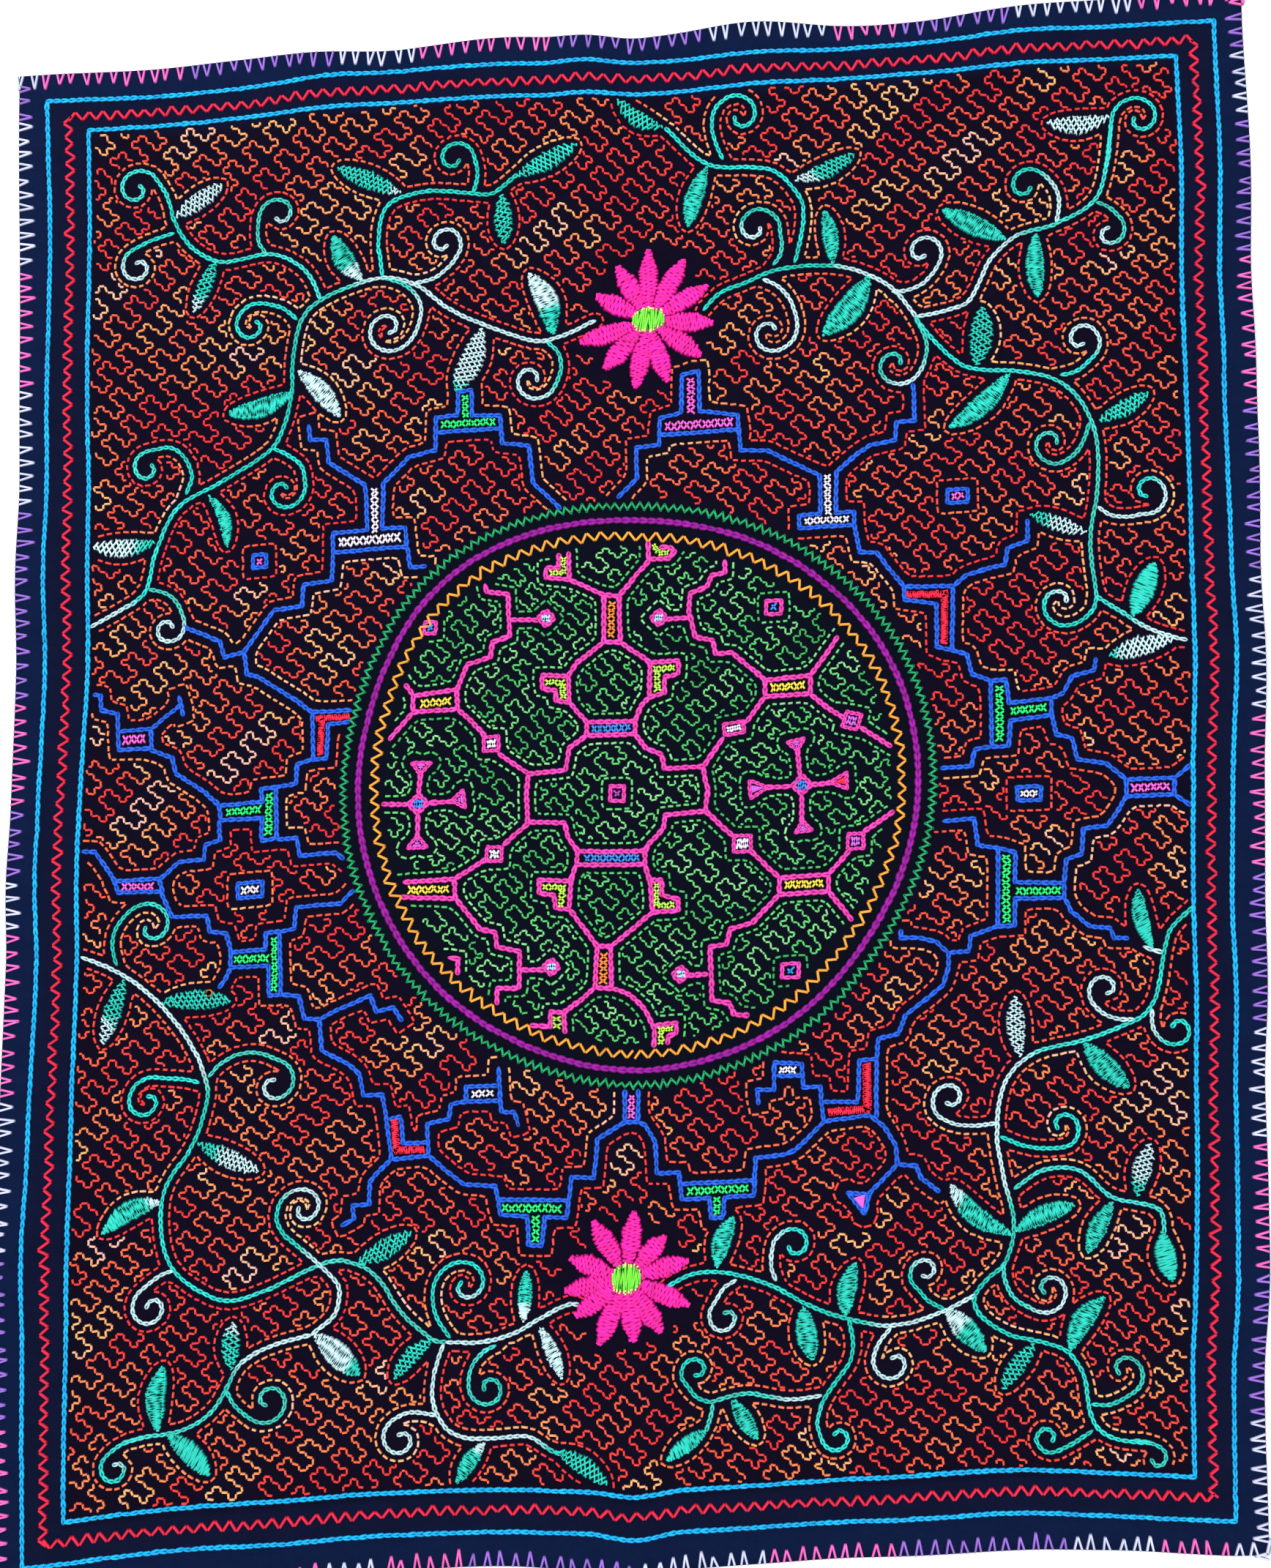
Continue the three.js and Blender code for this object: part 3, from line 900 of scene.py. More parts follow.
# Blue kené lines
# The same kind of angular lines surround the medallion in mid-blue chain stitch, with bars, T shapes and
# stepped ends. The bars are filled with crossed or satin stitches in green, pink, white or red.
KENE_BLUE = linear(34, 100, 228)
KENE_ROUTES = (
    [(-195, 229), (-194, 219), (-184, 218), (-183, 204), (-172, 196), (-161, 188), (-160, 160), (-181, 160),
     (-181, 148), (-182, 131), (-199, 130), (-200, 117), (-217, 116), (-223, 108), (-235, 92), (-233, 78),
     (-226, 76), (-215, 68), (-202, 59), (-192, 51)],
    [(-181, 148), (-136, 148), (-137, 160), (-151, 160), (-150, 188), (-134, 203), (-118, 206), (-117, 226),
     (-104, 227), (-103, 241), (-95, 242), (-95, 226), (-78, 225), (-77, 208), (-61, 206), (-59, 183),
     (-43, 168)],
    [(-117, 217), (-78, 217)],
    [(-136, 148), (-134, 135), (-125, 135)],
    [(-235, 92), (-247, 90), (-250, 100), (-260, 105), (-272, 111)],
    [(-168, 50), (-192, 51), (-190, 22), (-182, 22), (-182, 43), (-170, 43)],
    [(-190, 22), (-200, 20), (-200, 8), (-212, 7), (-211, -24), (-220, -25), (-220, -11), (-245, -10),
     (-246, -1), (-220, -1), (-221, 7), (-212, 7)],
    [(-246, -1), (-255, 8), (-266, 16), (-273, 21), (-276, 31), (-289, 37)],
    [(-310, 50), (-290, 50), (-289, 38), (-309, 39), (-310, 50)],
    [(-310, 50), (-311, 61), (-321, 64), (-322, 73), (-326, 74)],
    [(-290, 50), (-273, 63)],
    [(-274, 69), (-271, 57)],
    [(-246, -10), (-245, -22), (-254, -24), (-255, -33), (-270, -33), (-281, -42)],
    [(-309, -41), (-282, -42), (-280, -50), (-307, -48), (-309, -41)],
    [(-211, -25), (-199, -25), (-197, -36), (-175, -36), (-171, -40)],
    [(-329, -21), (-321, -22), (-315, -31), (-309, -41)],
    [(-281, -50), (-274, -66), (-253, -67), (-251, -77), (-241, -79), (-238, -91)],
    [(-238, -91), (-217, -91), (-217, -81), (-209, -81), (-207, -119), (-214, -119), (-215, -101),
     (-238, -100), (-238, -91)],
    [(-209, -81), (-200, -80), (-199, -67), (-172, -67), (-165, -60)],
    [(-238, -100), (-241, -107), (-244, -111)],
    [(-207, -119), (-196, -121), (-192, -135), (-183, -136), (-172, -131), (-153, -124), (-149, -134),
     (-139, -132), (-134, -140)],
    [(-183, -136), (-181, -155), (-165, -164), (-158, -171), (-155, -184), (-144, -184), (-141, -200),
     (-138, -223), (-148, -232), (-151, -236), (-151, -249), (-161, -249), (-160, -257), (-166, -260)],
    [(-140, -199), (-133, -198), (-131, -214), (-117, -214)],
    [(-138, -223), (-116, -222), (-106, -231), (-95, -240), (-76, -242), (-73, -259), (-57, -260),
     (-56, -277), (-48, -277), (-47, -260), (-34, -260), (-31, -236), (-18, -236), (-16, -213),
     (0, -203), (0, -185)],
    [(-75, -250), (-33, -250)],
    [(-116, -222), (-117, -203), (-104, -201), (-103, -192), (-94, -191), (-94, -182), (-76, -182)],
    [(-94, -191), (-75, -191)],
    [(-75, -171), (-73, -198), (-65, -198), (-63, -206)],
    [(0, -203), (8, -203), (8, -185)],
    [(8, -203), (12, -205), (18, -215), (19, -234), (32, -234), (34, -250), (50, -250), (51, -262),
     (58, -262), (59, -250), (76, -250), (77, -228), (94, -227), (100, -225), (110, -216), (117, -209)],
    [(33, -241), (77, -241)],
    [(117, -209), (144, -207), (152, -214), (159, -226), (160, -237), (150, -247), (143, -254)],
    [(143, -254), (131, -252), (141, -265), (143, -254)],
    [(160, -237), (171, -239), (174, -247), (184, -255)],
    [(117, -209), (115, -188), (105, -188), (104, -174), (88, -172), (88, -188), (78, -188), (79, -196)],
    [(89, -180), (104, -181)],
    [(116, -197), (137, -199), (138, -174), (148, -174), (148, -208)],
    [(148, -174), (149, -162), (161, -160), (165, -149), (178, -140), (187, -133), (190, -123), (190, -114),
     (202, -114), (203, -105), (219, -100)],
    [(219, -53), (229, -56), (229, -74), (258, -75), (258, -84), (229, -84), (229, -100), (219, -100),
     (219, -53)],
    [(190, -114), (183, -107), (173, -104), (162, -103), (162, -99)],
    [(186, -35), (205, -35), (207, -51), (219, -53)],
    [(258, -75), (259, -61), (268, -58), (269, -43), (283, -41), (288, -34), (294, -24)],
    [(294, -14), (322, -13), (322, -23), (294, -24), (294, -14)],
    [(322, -13), (331, -6)],
    [(322, -23), (331, -29)],
    [(258, -84), (262, -92), (273, -101), (285, -102), (287, -108), (295, -108)],
    [(294, -14), (282, -4), (265, -1), (262, 12), (253, 14), (250, 26)],
    [(214, 48), (223, 48), (225, 34), (250, 36), (250, 26), (226, 23), (225, 8), (215, 8), (214, 48)],
    [(215, 8), (205, 7), (203, -3), (186, -3)],
    [(250, 36), (257, 39), (262, 49), (275, 52), (276, 59)],
    [(214, 48), (203, 53), (200, 65), (191, 68)],
    [(163, 109), (192, 107), (191, 68), (182, 71), (182, 97), (163, 101), (163, 109)],
    [(192, 107), (200, 113), (211, 116), (223, 118), (225, 128), (237, 132), (237, 144)],
    [(163, 109), (153, 122), (147, 131), (137, 132), (134, 149), (101, 149), (101, 157), (114, 157),
     (114, 181), (95, 191), (83, 198), (67, 199), (66, 221), (43, 225), (43, 250), (33, 248), (32, 225),
     (19, 222), (18, 206), (4, 205), (4, 186), (-7, 175)],
    [(134, 149), (134, 157), (123, 157), (124, 182), (138, 193), (145, 197), (160, 199), (161, 210),
     (172, 210), (172, 232)],
    [(18, 212), (67, 212)],
)
GREEN = linear(34, 240, 120)
PINK = linear(250, 100, 214)
RED = linear(240, 24, 62)
KENE_CROSSED = (
    ((-155.5, 186), (-155.5, 158), 4.4, SNOW), ((-178, 154), (-140, 154), 6.0, SNOW),
    ((-114, 221.5), (-81, 221.5), 4.6, GREEN), ((-99, 225), (-99, 239), 4.4, GREEN),
    ((-216, 4), (-216, -22), 5.0, GREEN), ((-242, -5.5), (-221, -5.5), 5.0, GREEN),
    ((-307, 44.5), (-293, 44.5), 6.0, PINK), ((-305, -45), (-285, -46), 4.4, PINK),
    ((-236, -95.5), (-215, -96), 5.0, GREEN), ((-212, -84), (-211, -117), 4.0, GREEN),
    ((-72, -255), (-37, -255), 5.2, GREEN), ((-52, -259), (-52, -275), 5.0, GREEN),
    ((-91, -186.5), (-78, -186.5), 4.4, SNOW), ((4, -187), (4, -201), 4.4, PINK),
    ((37, -245.5), (73, -245.5), 5.0, GREEN), ((54.5, -250), (54.5, -260), 4.6, GREEN),
    ((91, -176.5), (101, -177.5), 4.2, SNOW), ((224, -57), (224, -98), 5.0, GREEN),
    ((230, -79.5), (256, -79.5), 5.0, GREEN), ((297, -19), (319, -18), 5.0, PINK),
    ((219.5, 45), (219.5, 11), 5.0, GREEN), ((226, 29), (247, 30.5), 5.0, GREEN),
    ((118.5, 181), (118.5, 156), 4.4, SNOW), ((104, 153), (131, 153), 4.6, SNOW),
    ((22, 217), (63, 217), 5.6, PINK), ((38, 224), (38, 246), 5.0, PINK),
)
KENE_SATIN = (
    ((-189, 47), (-170, 46.5), 4.0), ((-186, 46), (-186, 25), 4.2),
    ((-136.5, -200), (-135, -218), 4.6), ((-136, -218), (-119, -218), 4.8),
    ((142.5, -177), (142.5, -204), 5.6), ((120, -203.5), (143, -203.5), 5.0),
    ((165, 104), (188, 102.5), 4.6), ((187, 104), (186.5, 73), 4.6),
)
KENE_BOXES = (
    ((196, 162), 15, 11, PINK), ((237, -21), 17, 11, SNOW), ((-226, 147), 11, 11, PINK),
    ((-227, -54), 18, 12, SNOW),
)
KENE_GAP = 6.2
kene = chain_routes(KENE_ROUTES, 4.6, 3.4, 1.1, KENE_BLUE, KENE_GAP)
bars = [crossed(start, end, width, tone, 3.8) for start, end, width, tone in KENE_CROSSED]
bars += [satin(start, end, width, RED) for start, end, width in KENE_SATIN]
for start, end, *_ in KENE_CROSSED + KENE_SATIN:
    keep_clear((start, end), KENE_GAP - 2)
bars.append(wedge((140, -262), (138, -255), 8, PINK))
for centre, width, height, tone in KENE_BOXES:
    kene += chain_routes([square(centre, width - 3, height - 3)], 4.2, 3.2, 1.1, KENE_BLUE, KENE_GAP)
    x, y = centre
    bars.append(crossed((x - width / 2 + 3.6, y), (x + width / 2 - 3.6, y), height - 7, tone))
kene_yarn = yarn("mid_blue_yarn", 0.9, 0.5, 0.12)
joined("kene_lines", kene, kene_yarn)
joined("kene_fillings", bars, medallion_yarn)

# Vines
# Stems and curls in chain stitch, in a yarn dyed teal and white by turns.
# A curl leaves its stem gently and winds tighter and tighter into its eye.
TEAL_DEEP = linear(32, 204, 184)
TEAL = linear(44, 226, 214)
MINT_WHITE = linear(204, 240, 244)
STEMS = (  # marks along the stem, and the shares of its length that are white
    ([(-19, 284), (-50, 271), (-75, 277), (-107, 292), (-128, 309), (-150, 316), (-180, 309), (-198, 297),
      (-204, 272), (-205, 248), (-211, 227), (-220, 214), (-250, 198), (-276, 185), (-289, 160), (-296, 135),
      (-310, 125), (-328, 116)], ((0.0, 0.36), (0.94, 1.0))),
    ([(-188, 306), (-194, 320), (-203, 330), (-220, 338), (-250, 336), (-270, 349), (-280, 367)], ()),
    ([(-150, 317), (-153, 340), (-150, 357), (-141, 365), (-120, 368), (-98, 365), (-83, 364),
      (-68, 375)], ()),
    ([(46, 287), (56, 297), (70, 302), (90, 309), (118, 310), (140, 305), (160, 293),
      (174, 275)], ((0.6, 1.0),)),
    ([(175, 274), (200, 278), (209, 285), (219, 306), (235, 320), (257, 325), (280, 337), (288, 357),
      (292, 383)],
     ((0.0, 0.46),)),
    ([(304, -113), (309, -115), (314, -116)], ((0.0, 1.0),)),
    ([(101, 313), (104, 325), (106, 340), (104, 353), (90, 370), (75, 374), (48, 378), (24, 402)], ()),
    ([(174, 274), (188, 255), (206, 240), (235, 236), (258, 229), (273, 213), (280, 190), (279, 160),
      (274, 130), (277, 97)], ()),
    ([(276, 97), (288, 89), (308, 76), (328, 69)], ((0.5, 1.0),)),
    ([(-329, -85), (-305, -97), (-281, -117), (-260, -144), (-250, -167), (-249, -180), (-257, -205),
      (-273, -229), (-275, -255), (-269, -276), (-255, -290), (-235, -300), (-213, -296), (-188, -286),
      (-172, -281), (-158, -284), (-145, -293), (-130, -315), (-112, -331), (-104, -333)], ((0.0, 0.27),)),
    ([(-184, -324), (-171, -314), (-168, -304), (-169, -295), (-182, -281), (-192, -272), (-201, -264)],
     ((0.0, 0.78),)),
    ([(-184, -324), (-208, -329), (-226, -338), (-234, -352), (-243, -365), (-260, -374), (-284, -376),
      (-295, -378)], ((0.0, 0.36),)),
    ([(-104, -333), (-83, -334), (-64, -329), (-47, -319), (-32, -311), (-26, -311)], ((0.0, 1.0),)),
    ([(-105, -334), (-110, -350), (-111, -368), (-103, -384), (-90, -390), (-70, -390), (-55, -389),
      (-43, -396), (-36, -399)], ((0.0, 0.9),)),
    ([(26, -301), (42, -294), (62, -295), (86, -303), (110, -317), (132, -326), (158, -332), (183, -328),
      (206, -318)], ((0.69, 1.0),)),
    ([(118, -370), (98, -371), (74, -366), (53, -370)], ((0.0, 0.38),)),
    ([(54, -371), (53, -378), (50, -386)], ()),
    ([(133, -326), (136, -340), (134, -352), (124, -365), (117, -376)], ()),
    ([(334, -89), (325, -97), (318, -107), (313, -135), (309, -147), (300, -156), (270, -168), (240, -176),
      (223, -193), (218, -222), (222, -250), (228, -275), (224, -298), (213, -309), (206, -319), (210, -330),
      (226, -341), (248, -346), (261, -351), (270, -364), (273, -383), (278, -395), (290, -401), (308, -402)],
     ((0.32, 0.52),)),
    ([(228, -256), (245, -245), (266, -245), (284, -260), (308, -265), (314, -271), (315, -280)], ()),
)
CURLS = (  # marks leading off the stem, the eye, the turn round it (anticlockwise is positive), white share
    (((-280, 367), (-283, 380), (-291, 394)), (-302, 386), 330, 0, 0),
    (((-279, 357), (-291, 354), (-303, 349)), (-301, 337), 330, 0.48, 1),
    (((-222, 338), (-227, 347), (-227, 358)), (-214, 362), -300, 0.84, 1),
    (((-202, 295), (-211, 303), (-222, 307)), (-229, 294), 310, 0, 0),
    (((-95, 365), (-92, 375), (-93, 385)), (-106, 387), 310, 0, 0),
    (((-150, 316), (-137, 311), (-127, 300), (-126, 290), (-129, 280)), (-146, 284), -370, 0.2, 1),
    (((-130, 311), (-119, 313), (-109, 320), (-103, 329)), (-113, 335), 310, 0, 1),
    (((-49, 271), (-42, 264), (-40, 255), (-43, 245)), (-58, 247), -320, 0.42, 1),
    (((-271, 193), (-267, 204), (-272, 217), (-281, 223), (-291, 222)), (-294, 211), 290, 0, 0),
    (((-217, 216), (-208, 211), (-200, 204), (-198, 196)), (-211, 189), -310, 0, 0),
    (((-294, 136), (-284, 133), (-277, 127), (-273, 118)), (-282, 111), -340, 0.44, 1),
    (((288, 357), (290, 370), (292, 383)), (309, 387), -345, 0, 0),
    (((258, 326), (260, 337), (258, 347), (252, 355)), (240, 350), 280, 0, 0.4),
    (((282, 337), (290, 333), (297, 326)), (290, 318), -270, 0.7, 1),
    (((58, 380), (54, 390), (52, 400)), (69, 406), -330, 0, 0),
    (((88, 312), (93, 320), (92, 331)), (77, 336), 335, 0.75, 1),
    (((82, 304), (91, 299), (98, 291), (102, 281)), (87, 271), -320, 0, 1),
    (((160, 291), (171, 291), (181, 296), (187, 304)), (178, 314), 310, 0, 1),
    (((174, 274), (179, 264), (181, 254), (178, 243)), (162, 246), -310, 0.36, 0.63),
    (((277, 97), (275, 89), (269, 83)), (256, 94), -280, 0.8, 1),
    (((260, 232), (270, 234), (278, 240)), (273, 253), 320, 0.4, 1),
    (((276, 202), (272, 191), (266, 183), (257, 178)), (253, 191), -260, 0, 0),
    (((279, 151), (285, 146), (294, 144), (304, 145)), (309, 159), 325, 0, 0.7),
    (((-267, -279), (-275, -281), (-284, -287)), (-280, -300), 370, 0, 1),
    (((-307, -92), (-310, -82), (-309, -72), (-303, -63)), (-287, -71), -300, 0, 0),
    (((-254, -168), (-263, -165), (-276, -163)), (-285, -176), 340, 0, 0),
    (((-249, -165), (-242, -158), (-231, -153), (-219, -153), (-208, -158)), (-209, -173), -315, 0.78, 1),
    (((-201, -264), (-206, -255), (-205, -246)), (-190, -249), -320, 0.36, 1),
    (((-284, -376), (-295, -378), (-304, -383)), (-300, -393), 320, 0.9, 1),
    (((-234, -353), (-230, -361), (-223, -368)), (-209, -361), 350, 0, 0),
    (((-101, -331), (-108, -321), (-112, -309), (-111, -297), (-105, -289)), (-93, -300), -310, 0.8, 0.92),
    (((-74, -336), (-82, -340), (-88, -348), (-90, -357)), (-78, -361), 345, 0, 0),
    (((-109, -376), (-118, -374), (-128, -374), (-137, -379)), (-130, -389), 310, 0, 1),
    (((90, -301), (87, -293), (87, -284)), (100, -281), -320, 0, 0.45),
    (((67, -299), (59, -304), (54, -312)), (61, -321), 300, 0, 0.85),
    (((53, -370), (45, -367), (39, -360)), (44, -351), -300, 0, 0),
    (((118, -375), (115, -385), (117, -395)), (127, -395), 280, 0, 0),
    (((298, -401), (308, -402), (315, -405)), (311, -411), -190, 0, 0),
    (((309, -150), (309, -160), (313, -167)), (323, -161), 270, 0, 0.3),
    (((299, -156), (290, -156), (281, -153), (274, -146)), (282, -138), -265, 0, 1),
    (((218, -217), (207, -218), (196, -217), (187, -213)), (191, -201), -335, 0, 1),
    (((220, -225), (229, -229), (240, -232), (251, -232)), (256, -219), 280, 0, 0),
    (((222, -300), (224, -311), (229, -320), (237, -325)), (249, -315), 320, 0.4, 0.85),
    (((189, -325), (180, -320), (173, -312)), (177, -302), -325, 0.6, 1),
    (((158, -333), (152, -340), (148, -349)), (160, -354), 280, 0, 1),
    (((274, -381), (285, -381), (295, -376)), (293, -361), 260, 0, 0),
    (((275, -396), (266, -402), (257, -407)), (249, -401), -320, 0, 0),
)
EYE_RADIUS = 3.0


def curl(lead, eye, turn):
    """A tendril: a few marks away from its stem, then a spiral that winds into its eye."""
    lead = np.array(lead, float)
    arm = lead[-1] - eye
    turn = turn * 1.14
    count = round(abs(turn) / 30)
    share = np.arange(1, count + 1) / count
    angle = math.atan2(arm[1], arm[0]) + math.radians(turn) * share
    radius = np.hypot(*arm) + (EYE_RADIUS - np.hypot(*arm)) * share ** 0.85
    spiral = np.array(eye) + np.c_[np.cos(angle), np.sin(angle)] * radius[:, None]
    return smooth(np.concatenate([lead, spiral]), 6)


def vine_tone(count, whites, phase):
    """The shaded yarn's colour, link by link."""
    share = (np.arange(count) + 0.5) / count
    wave = 0.5 + 0.5 * np.sin(share * count / 11 + phase)
    pale = 0.1 * np.clip(np.sin(share * count / 17 + phase * 1.7), 0, 1)[:, None]
    tone = TEAL_DEEP * (1 - wave[:, None]) + TEAL * wave[:, None]
    tone = tone * (1 - pale) + MINT_WHITE * 0.8 * pale
    for start, end in whites:
        soft = 3.0 / count
        mask = np.clip((share - start) / soft + 0.5, 0, 1) * np.clip((end - share) / soft + 0.5, 0, 1)
        if start <= 0:
            mask = np.clip((end - share) / soft + 0.5, 0, 1)
        if end >= 1:
            mask = np.clip((share - start) / soft + 0.5, 0, 1) if start > 0 else np.ones_like(share)
        tone = tone * (1 - mask[:, None]) + MINT_WHITE * mask[:, None]
    return tone


VINE_GAP = 5.0
vines = []
for number, (marks, whites) in enumerate(STEMS):
    route = evenly(smooth(marks), 4.4)
    vines.append(chain(route, 3.0, 1.05, vine_tone(len(route) - 1, whites, number)))
    keep_clear(route, VINE_GAP)
for number, (lead, eye, turn, white_from, white_to) in enumerate(CURLS):
    route = evenly(curl(lead, eye, turn), 4.0)
    whites = ((white_from, white_to),) if white_to > 0 else ()
    vines.append(chain(route, 2.9, 1.05, vine_tone(len(route) - 1, whites, number * 2.3)))
    keep_clear(route, VINE_GAP)
teal_yarn = yarn("teal_and_white_yarn", 0.8, 0.5, 0.12)
joined("vine_chains", vines, teal_yarn)

# Leaves
# Each leaf is a pointed oval of slanting stitches in the vines' yarn, an open lattice or worked close.
# One leaf at the left carries a small knot of orange yarn.
LEAVES = (  # base, tip, width, bow to its left, open or close, tones and the share where they change
    ((-68, 374), (-31, 393), 12, 0, "open", "t"), ((-139, 368), (-178, 388), 12, 0, "open", "wt15"),
    ((-77, 363), (-76, 332), 12, 0, "open", "t"), ((-163, 316), (-181, 345), 13, 2, "close", "wt33"),
    ((-278, 367), (-249, 385), 12, 0, "open", "w"), ((-253, 338), (-266, 306), 10, 0, "open", "tw75"),
    ((-205, 250), (-244, 240), 13, 3, "close", "t"), ((-201, 263), (-176, 232), 12, 2, "close", "w"),
    ((-88, 280), (-105, 242), 16, 2, "open", "wt85"), ((-45, 275), (-60, 313), 15, -4, "close", "tw42"),
    ((-290, 165), (-328, 164), 12, 2, "open", "tw33"), ((-257, 191), (-246, 158), 8, 4, "close", "t"),
    ((22, 403), (-5, 421), 11, 3, "open", "t"), ((48, 376), (36, 340), 12, -2, "close", "t"),
    ((101, 364), (138, 378), 11, -2, "open", "wt30"), ((124, 311), (119, 344), 10, -1, "close", "t"),
    ((146, 301), (119, 267), 17, 3, "close", "t"), ((291, 389), (254, 388), 12, 3, "open", "w"),
    ((228, 318), (190, 339), 13, 0, "close", "t"), ((246, 320), (248, 281), 12, -1, "close", "t"),
    ((210, 241), (214, 277), 15, -2, "open", "t"), ((230, 235), (193, 204), 13, 3, "close", "t"),
    ((282, 203), (312, 219), 11, -1, "open", "t"), ((272, 135), (239, 148), 10, 0, "open", "wt65"),
    ((298, 84), (312, 116), 14, 0, "close", "t"), ((322, 70), (284, 60), 13, -1, "open", "wt85"),
    ((-302, -101), (-313, -139), 12, -1, "open", "tw64"), ((-279, -117), (-237, -120), 13, 1, "open", "t"),
    ((-254, -204), (-217, -224), 12, -1, "open", "tw36"),
    ((-276, -237), (-310, -252), 13, -4, "close", "wt17"),
    ((-158, -284), (-126, -267), 13, -1, "open", "t"), ((-231, -341), (-231, -313), 12, 1, "open", "tw75"),
    ((-275, -373), (-272, -335), 13, 3, "close", "t"), ((-269, -375), (-244, -402), 13, 1, "close", "t"),
    ((-181, -324), (-155, -350), 15, 0, "close", "wt75"), ((-112, -331), (-134, -353), 11, -2, "open", "t"),
    ((-58, -322), (-57, -292), 9, 0, "close", "wt35"), ((-48, -325), (-35, -355), 9, 1, "close", "w"),
    ((-81, -393), (-97, -416), 10, -1, "close", "wt22"), ((-38, -397), (-8, -415), 12, 1, "open", "t"),
    ((55, -291), (64, -262), 12, 2, "close", "t"), ((106, -317), (113, -349), 13, -1, "close", "t"),
    ((50, -386), (27, -402), 10, 0, "close", "t"), ((65, -369), (80, -393), 10, 0, "close", "t"),
    ((131, -325), (136, -294), 12, 2, "close", "t"), ((190, -325), (213, -351), 14, 0, "close", "wt42"),
    ((262, -350), (281, -319), 13, 3, "close", "t"), ((242, -347), (223, -373), 11, -1, "open", "t"),
    ((309, -114), (301, -79), 10, 2, "close", "t"), ((269, -170), (295, -196), 14, -1, "close", "t"),
    ((232, -178), (229, -142), 12, 1, "open", "w"), ((285, -263), (271, -293), 11, -1, "close", "t"),
    ((299, -260), (307, -229), 12, 1, "open", "tw30"), ((227, -283), (191, -252), 12, 5, "close", "tw78"),
    ((229, -281), (263, -265), 12, 2, "close", "t"), ((314, -280), (320, -308), 13, -1, "close", "t"),
)
LEAF_TONES = {"t": linear(30, 204, 184), "w": MINT_WHITE}
LEAF_GAP = 4.0


def pointed(share):
    """Half a leaf's width, from 0 to 1, at a share of its length: narrow at both ends, full between."""
    return np.sin(np.pi * np.clip(share, 0, 1) ** 1.06) ** 0.62


def bowed(base, tip, bow):
    """Tells where a share along and a distance to the left of a bowed middle line lie on the cloth."""
    base, tip = np.array(base, float), np.array(tip, float)
    left_hand = np.array([base[1] - tip[1], tip[0] - base[0]]) / np.hypot(*(tip - base))

    def place(share, aside):
        share = np.asarray(share)
        aside = np.asarray(aside) + bow * np.sin(np.pi * share)
        return base + (tip - base) * share[:, None] + left_hand * aside[:, None]

    return place


def stroked(base, tip, width, profile, pitch, slants, thick, bow=0.0):
    """Stitches from edge to edge of an oval, at each slant in turn. A slant is a lean lengthwise."""
    place = bowed(base, tip, bow)
    length = math.dist(base, tip)
    middle = np.arange(pitch * 0.3, length, pitch)
    slant = np.tile(slants, len(middle))
    middle = np.add.outer(middle, pitch * np.arange(len(slants)) / len(slants)).ravel()
    slant = slant[middle < length]
    middle = middle[middle < length] / length
    lean = slant * profile(middle) / length / 2
    left, right = np.clip(middle - lean, 0, 1), np.clip(middle + lean, 0, 1)
    start = place(left, np.maximum(profile(left), 0.08) * width / 2)
    end = place(right, -np.maximum(profile(right), 0.08) * width / 2)
    start = start + rng.normal(0, 0.35, start.shape)
    end = end + rng.normal(0, 0.35, end.shape)
    return start, end, middle, thick * rng.normal(1, 0.06, len(middle))


def leaf(base, tip, width, bow, style, tones):
    """A leaf: an open lattice of crossing stitches, or close stitches that cover most of the cloth."""
    swing = width * rng.uniform(-0.3, 0.3)
    if style == "open":
        slants = (swing + width * 0.6, swing - width * 0.6)
        start, end, low, thick = stroked(base, tip, width, pointed, 3.0, slants, 1.1, bow)
    else:
        slants = (swing + width * 0.18, swing - width * 0.08)
        start, end, low, thick = stroked(base, tip, width, pointed, 1.7, slants, 1.5, bow)
    base_tone, tip_tone = tones[0], tones[min(1, len(tones) - 1)]
    change = int(tones[2:] or 100) / 100
    blend = np.clip((low - change) * 9 + 0.5, 0, 1)[:, None]
    tone = LEAF_TONES[base_tone] * (1 - blend) + LEAF_TONES[tip_tone] * blend
    tone = tone * rng.uniform(0.92, 1.05)
    place = bowed(base, tip, bow)
    shares = np.linspace(0, 1, 16)
    for hand in (-1, 0, 1):
        keep_clear(place(shares, hand * pointed(shares) * width / 2), LEAF_GAP)
    return sewn(RUNNING, start, end, thick, 0.95, noisy(tone), rise=0.1)


joined("leaves", [leaf(*row) for row in LEAVES], teal_yarn)
KNOT_AT = (-250, -114)
KNOT_TURNS = 9
knot_turn = np.arange(KNOT_TURNS) * 2.4
knot_arm = 2.3 * np.c_[np.cos(knot_turn), np.sin(knot_turn)]
knot_dye = noisy(np.tile(ORANGE, (KNOT_TURNS, 1)), 0.1)
knot = sewn(RUNNING, KNOT_AT + knot_arm, KNOT_AT - knot_arm, 1.7, 1.1, knot_dye, rise=1.0)
joined("orange_knot", [knot], medallion_yarn)

# Flowers
# Two open flowers in magenta yarn, each with eleven blunt petals round an oval middle of lime stitches.
# Every petal is covered by slanting stitches from edge to edge, over a padding of the same yarn painted
# darker as the shade beneath them.
MAGENTA = linear(248, 22, 160)
CENTRE_LIME = linear(128, 244, 64)
CENTRE_GREEN = linear(36, 160, 48)
CENTRE_PALE = linear(216, 250, 130)
FLOWERS = (  # centre, half width and half height of its middle, then each petal's heading and reach
    ((13, 283), (9.8, 7.8), ((91, 43), (60, 42), (28, 40), (-6, 39), (-37, 40), (-74, 40),
                            (-101, 42), (-133, 40), (-163, 44), (153, 36), (119, 39))),
    ((2, -295), (8.5, 9.5), ((84, 39), (47, 33), (14, 37), (-25, 41), (-57, 39), (-82, 38),
                            (-111, 42), (-142, 37), (-167, 37), (162, 35), (121, 39))),
)
PETAL_WIDTH = 12.6
PETAL_FOOT = 6.0
FLOWER_GAP = 2.0
BARE_ZONES = []


